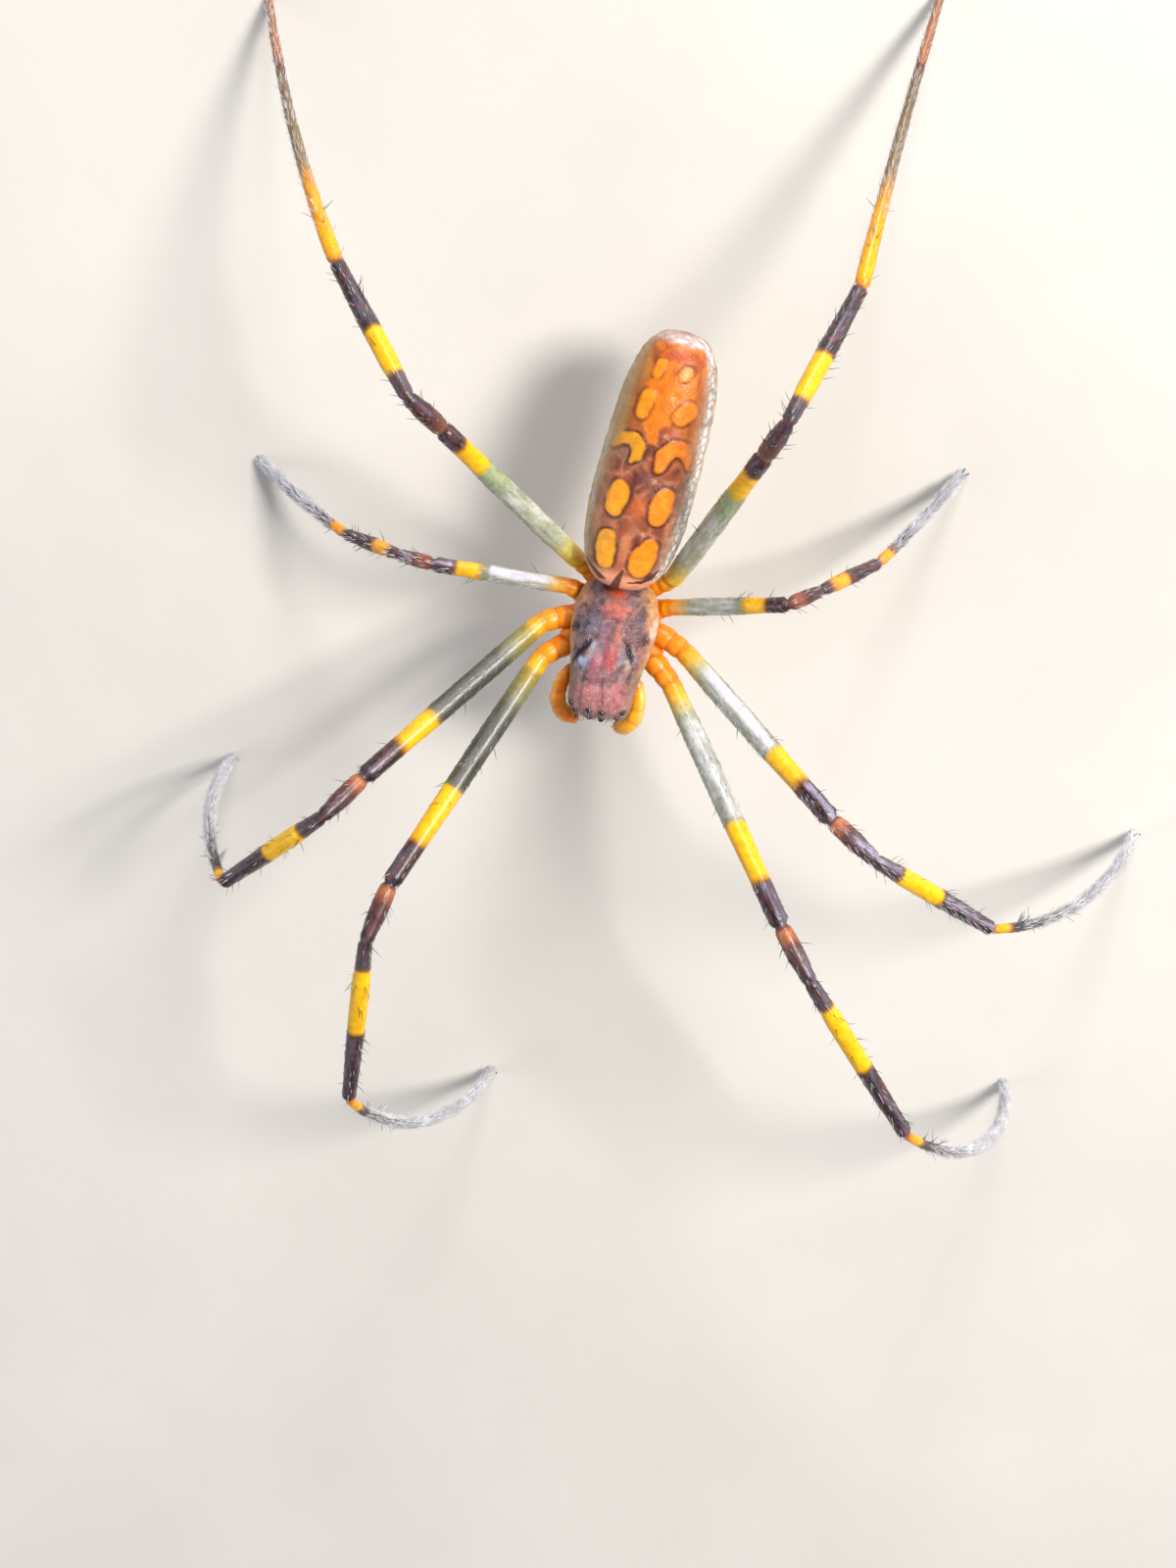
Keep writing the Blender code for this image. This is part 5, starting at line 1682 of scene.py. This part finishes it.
        settle(body, "spinnerets", "spinnerets")
        settle(coat.grow(body, hairs["down"], "cover_down"), "spinnerets")

    def build(self, finishes: Finishes, coat: Coat, hairs: dict[str, Hair]) -> None:
        """Makes the chest plate, the waist and the spinnerets.

        Args:
            finishes: the materials.
            coat: what grows the hair.
            hairs: the kinds of hair by name.
        """
        self.sternum(finishes, coat, hairs)
        self.waist(finishes)
        self.spinnerets(finishes, coat, hairs)


@dataclass
class Studio:
    """The pale floor, the soft lights and the camera at the angle of the picture."""

    frame_width: int = 1200
    frame_height: int = 1600
    prosoma_pixel: tuple[int, int] = (622, 660)
    pixels_per_mm: float = 20.5
    distance: float = 170.0
    sensor: float = 36.0

    def camera(self) -> None:
        """Puts the camera over the spider's back, a little from behind."""
        across = (self.frame_width / 2 - self.prosoma_pixel[0]) / self.pixels_per_mm
        lower = (self.prosoma_pixel[1] - self.frame_height / 2) / self.pixels_per_mm
        place = body_place(0, 0, 0) + VIEW_RIGHT * across + VIEW_UP * lower + TOWARDS_CAMERA * self.distance
        data = bpy.data.cameras.new("camera")
        data.sensor_fit = "VERTICAL"
        data.sensor_height = self.sensor
        data.lens = self.sensor * self.distance * self.pixels_per_mm / self.frame_height
        data.clip_start = 0.01
        data.clip_end = 20.0
        made = bpy.data.objects.new("camera", data)
        turn = Matrix((VIEW_RIGHT, VIEW_UP, TOWARDS_CAMERA)).transposed().to_4x4()
        made.matrix_world = Matrix.Translation(place * MM) @ turn
        bpy.context.scene.collection.objects.link(made)
        bpy.context.scene.camera = made

    def light(self, name: str, place: tuple[float, float, float], size: float, power: float,
              colour: str) -> None:
        """One square soft light, aimed at the body.

        Args:
            name: its name.
            place: where it hangs, in millimetres.
            size: the length of its side, in millimetres.
            power: watts.
            colour: its colour.
        """
        data = bpy.data.lights.new(name, "AREA")
        data.shape = "SQUARE"
        data.size = size * MM
        data.energy = power
        data.color = linear(colour)
        made = bpy.data.objects.new(name, data)
        made.location = Vector(place) * MM
        made.rotation_euler = (Vector((0, 0, BODY_HEIGHT)) - Vector(place)).to_track_quat("-Z", "Y").to_euler()
        bpy.context.scene.collection.objects.link(made)

    def floor(self) -> None:
        """A wide pale sheet with a faint grain."""
        half = 1.5
        mesh = bpy.data.meshes.new("floor")
        mesh.from_pydata([(-half, -half, 0), (half, -half, 0), (half, half, 0), (-half, half, 0)], [],
                         [(0, 1, 2, 3)])
        made = bpy.data.objects.new("floor", mesh)
        # Matt painted board.
        mesh.materials.append(Finish("Matt painted board", 0.85, colour="#DCD9D4", grain=0.5, depth=0.004,
                                     patch=40, dark=0.97).material())
        bpy.context.scene.collection.objects.link(made)

    def build(self) -> None:
        """Sets the floor, the lights, the air's light and the camera."""
        self.floor()
        self.light("key", (210, 130, 250), 90, 1.4, "#FFF8F0")
        self.light("rim", (60, 360, 150), 90, 0.7, "#FFFFFF")
        self.light("fill", (-300, -120, 220), 220, 0.3, "#F2F4FF")
        world = bpy.data.worlds.new("studio air")
        world.use_nodes = True
        world.node_tree.nodes["Background"].inputs["Color"].default_value = (*linear("#EEF0F4"), 1)
        world.node_tree.nodes["Background"].inputs["Strength"].default_value = 0.33
        bpy.context.scene.world = world
        bpy.context.scene.view_settings.view_transform = "Standard"
        self.camera()


def kinds_of_hair(finishes: Finishes) -> dict[str, Hair]:
    """Every kind of hair by name."""
    kinds = (
        Hair("down", 0.24, 0.022, 24.0, 0.85, 0.1, 0.14, finishes.down),
        Hair("silver", 0.35, 0.025, 190.0, 0.58, 0.16, 0.16, finishes.silver),
        Hair("bristle", 0.6, 0.034, 1.7, 0.42, 0.1, 0.15, finishes.bristle),
        Hair("spine", 0.75, 0.1, 9.0, 0.1, 0.06, 0.06, finishes.spine),
        Hair("abdomen", 0.13, 0.014, 45.0, 0.8, 0.12, 0.2, finishes.down),
        Hair("felt", 0.2, 0.024, 150.0, 0.88, 0.1, 0.22, finishes.felt),
        Hair("glint", 0.2, 0.022, 28.0, 0.88, 0.1, 0.22, finishes.silver),
    )
    return {hair.name: hair for hair in kinds}


def main() -> None:
    """Builds the spider and the studio in order."""
    finishes = Finishes()
    coat = Coat()
    hairs = kinds_of_hair(finishes)
    carapace = Carapace()
    carapace.build(finishes, coat, hairs)
    Head(carapace).build(finishes, coat, hairs)
    Abdomen().build(finishes, coat, hairs)
    Underside().build(finishes, coat, hairs)
    for side, pair in LEG_POSES:
        Leg(side, pair).build(finishes, coat, hairs)
    Studio().build()


if __name__ == "__main__":
    main()
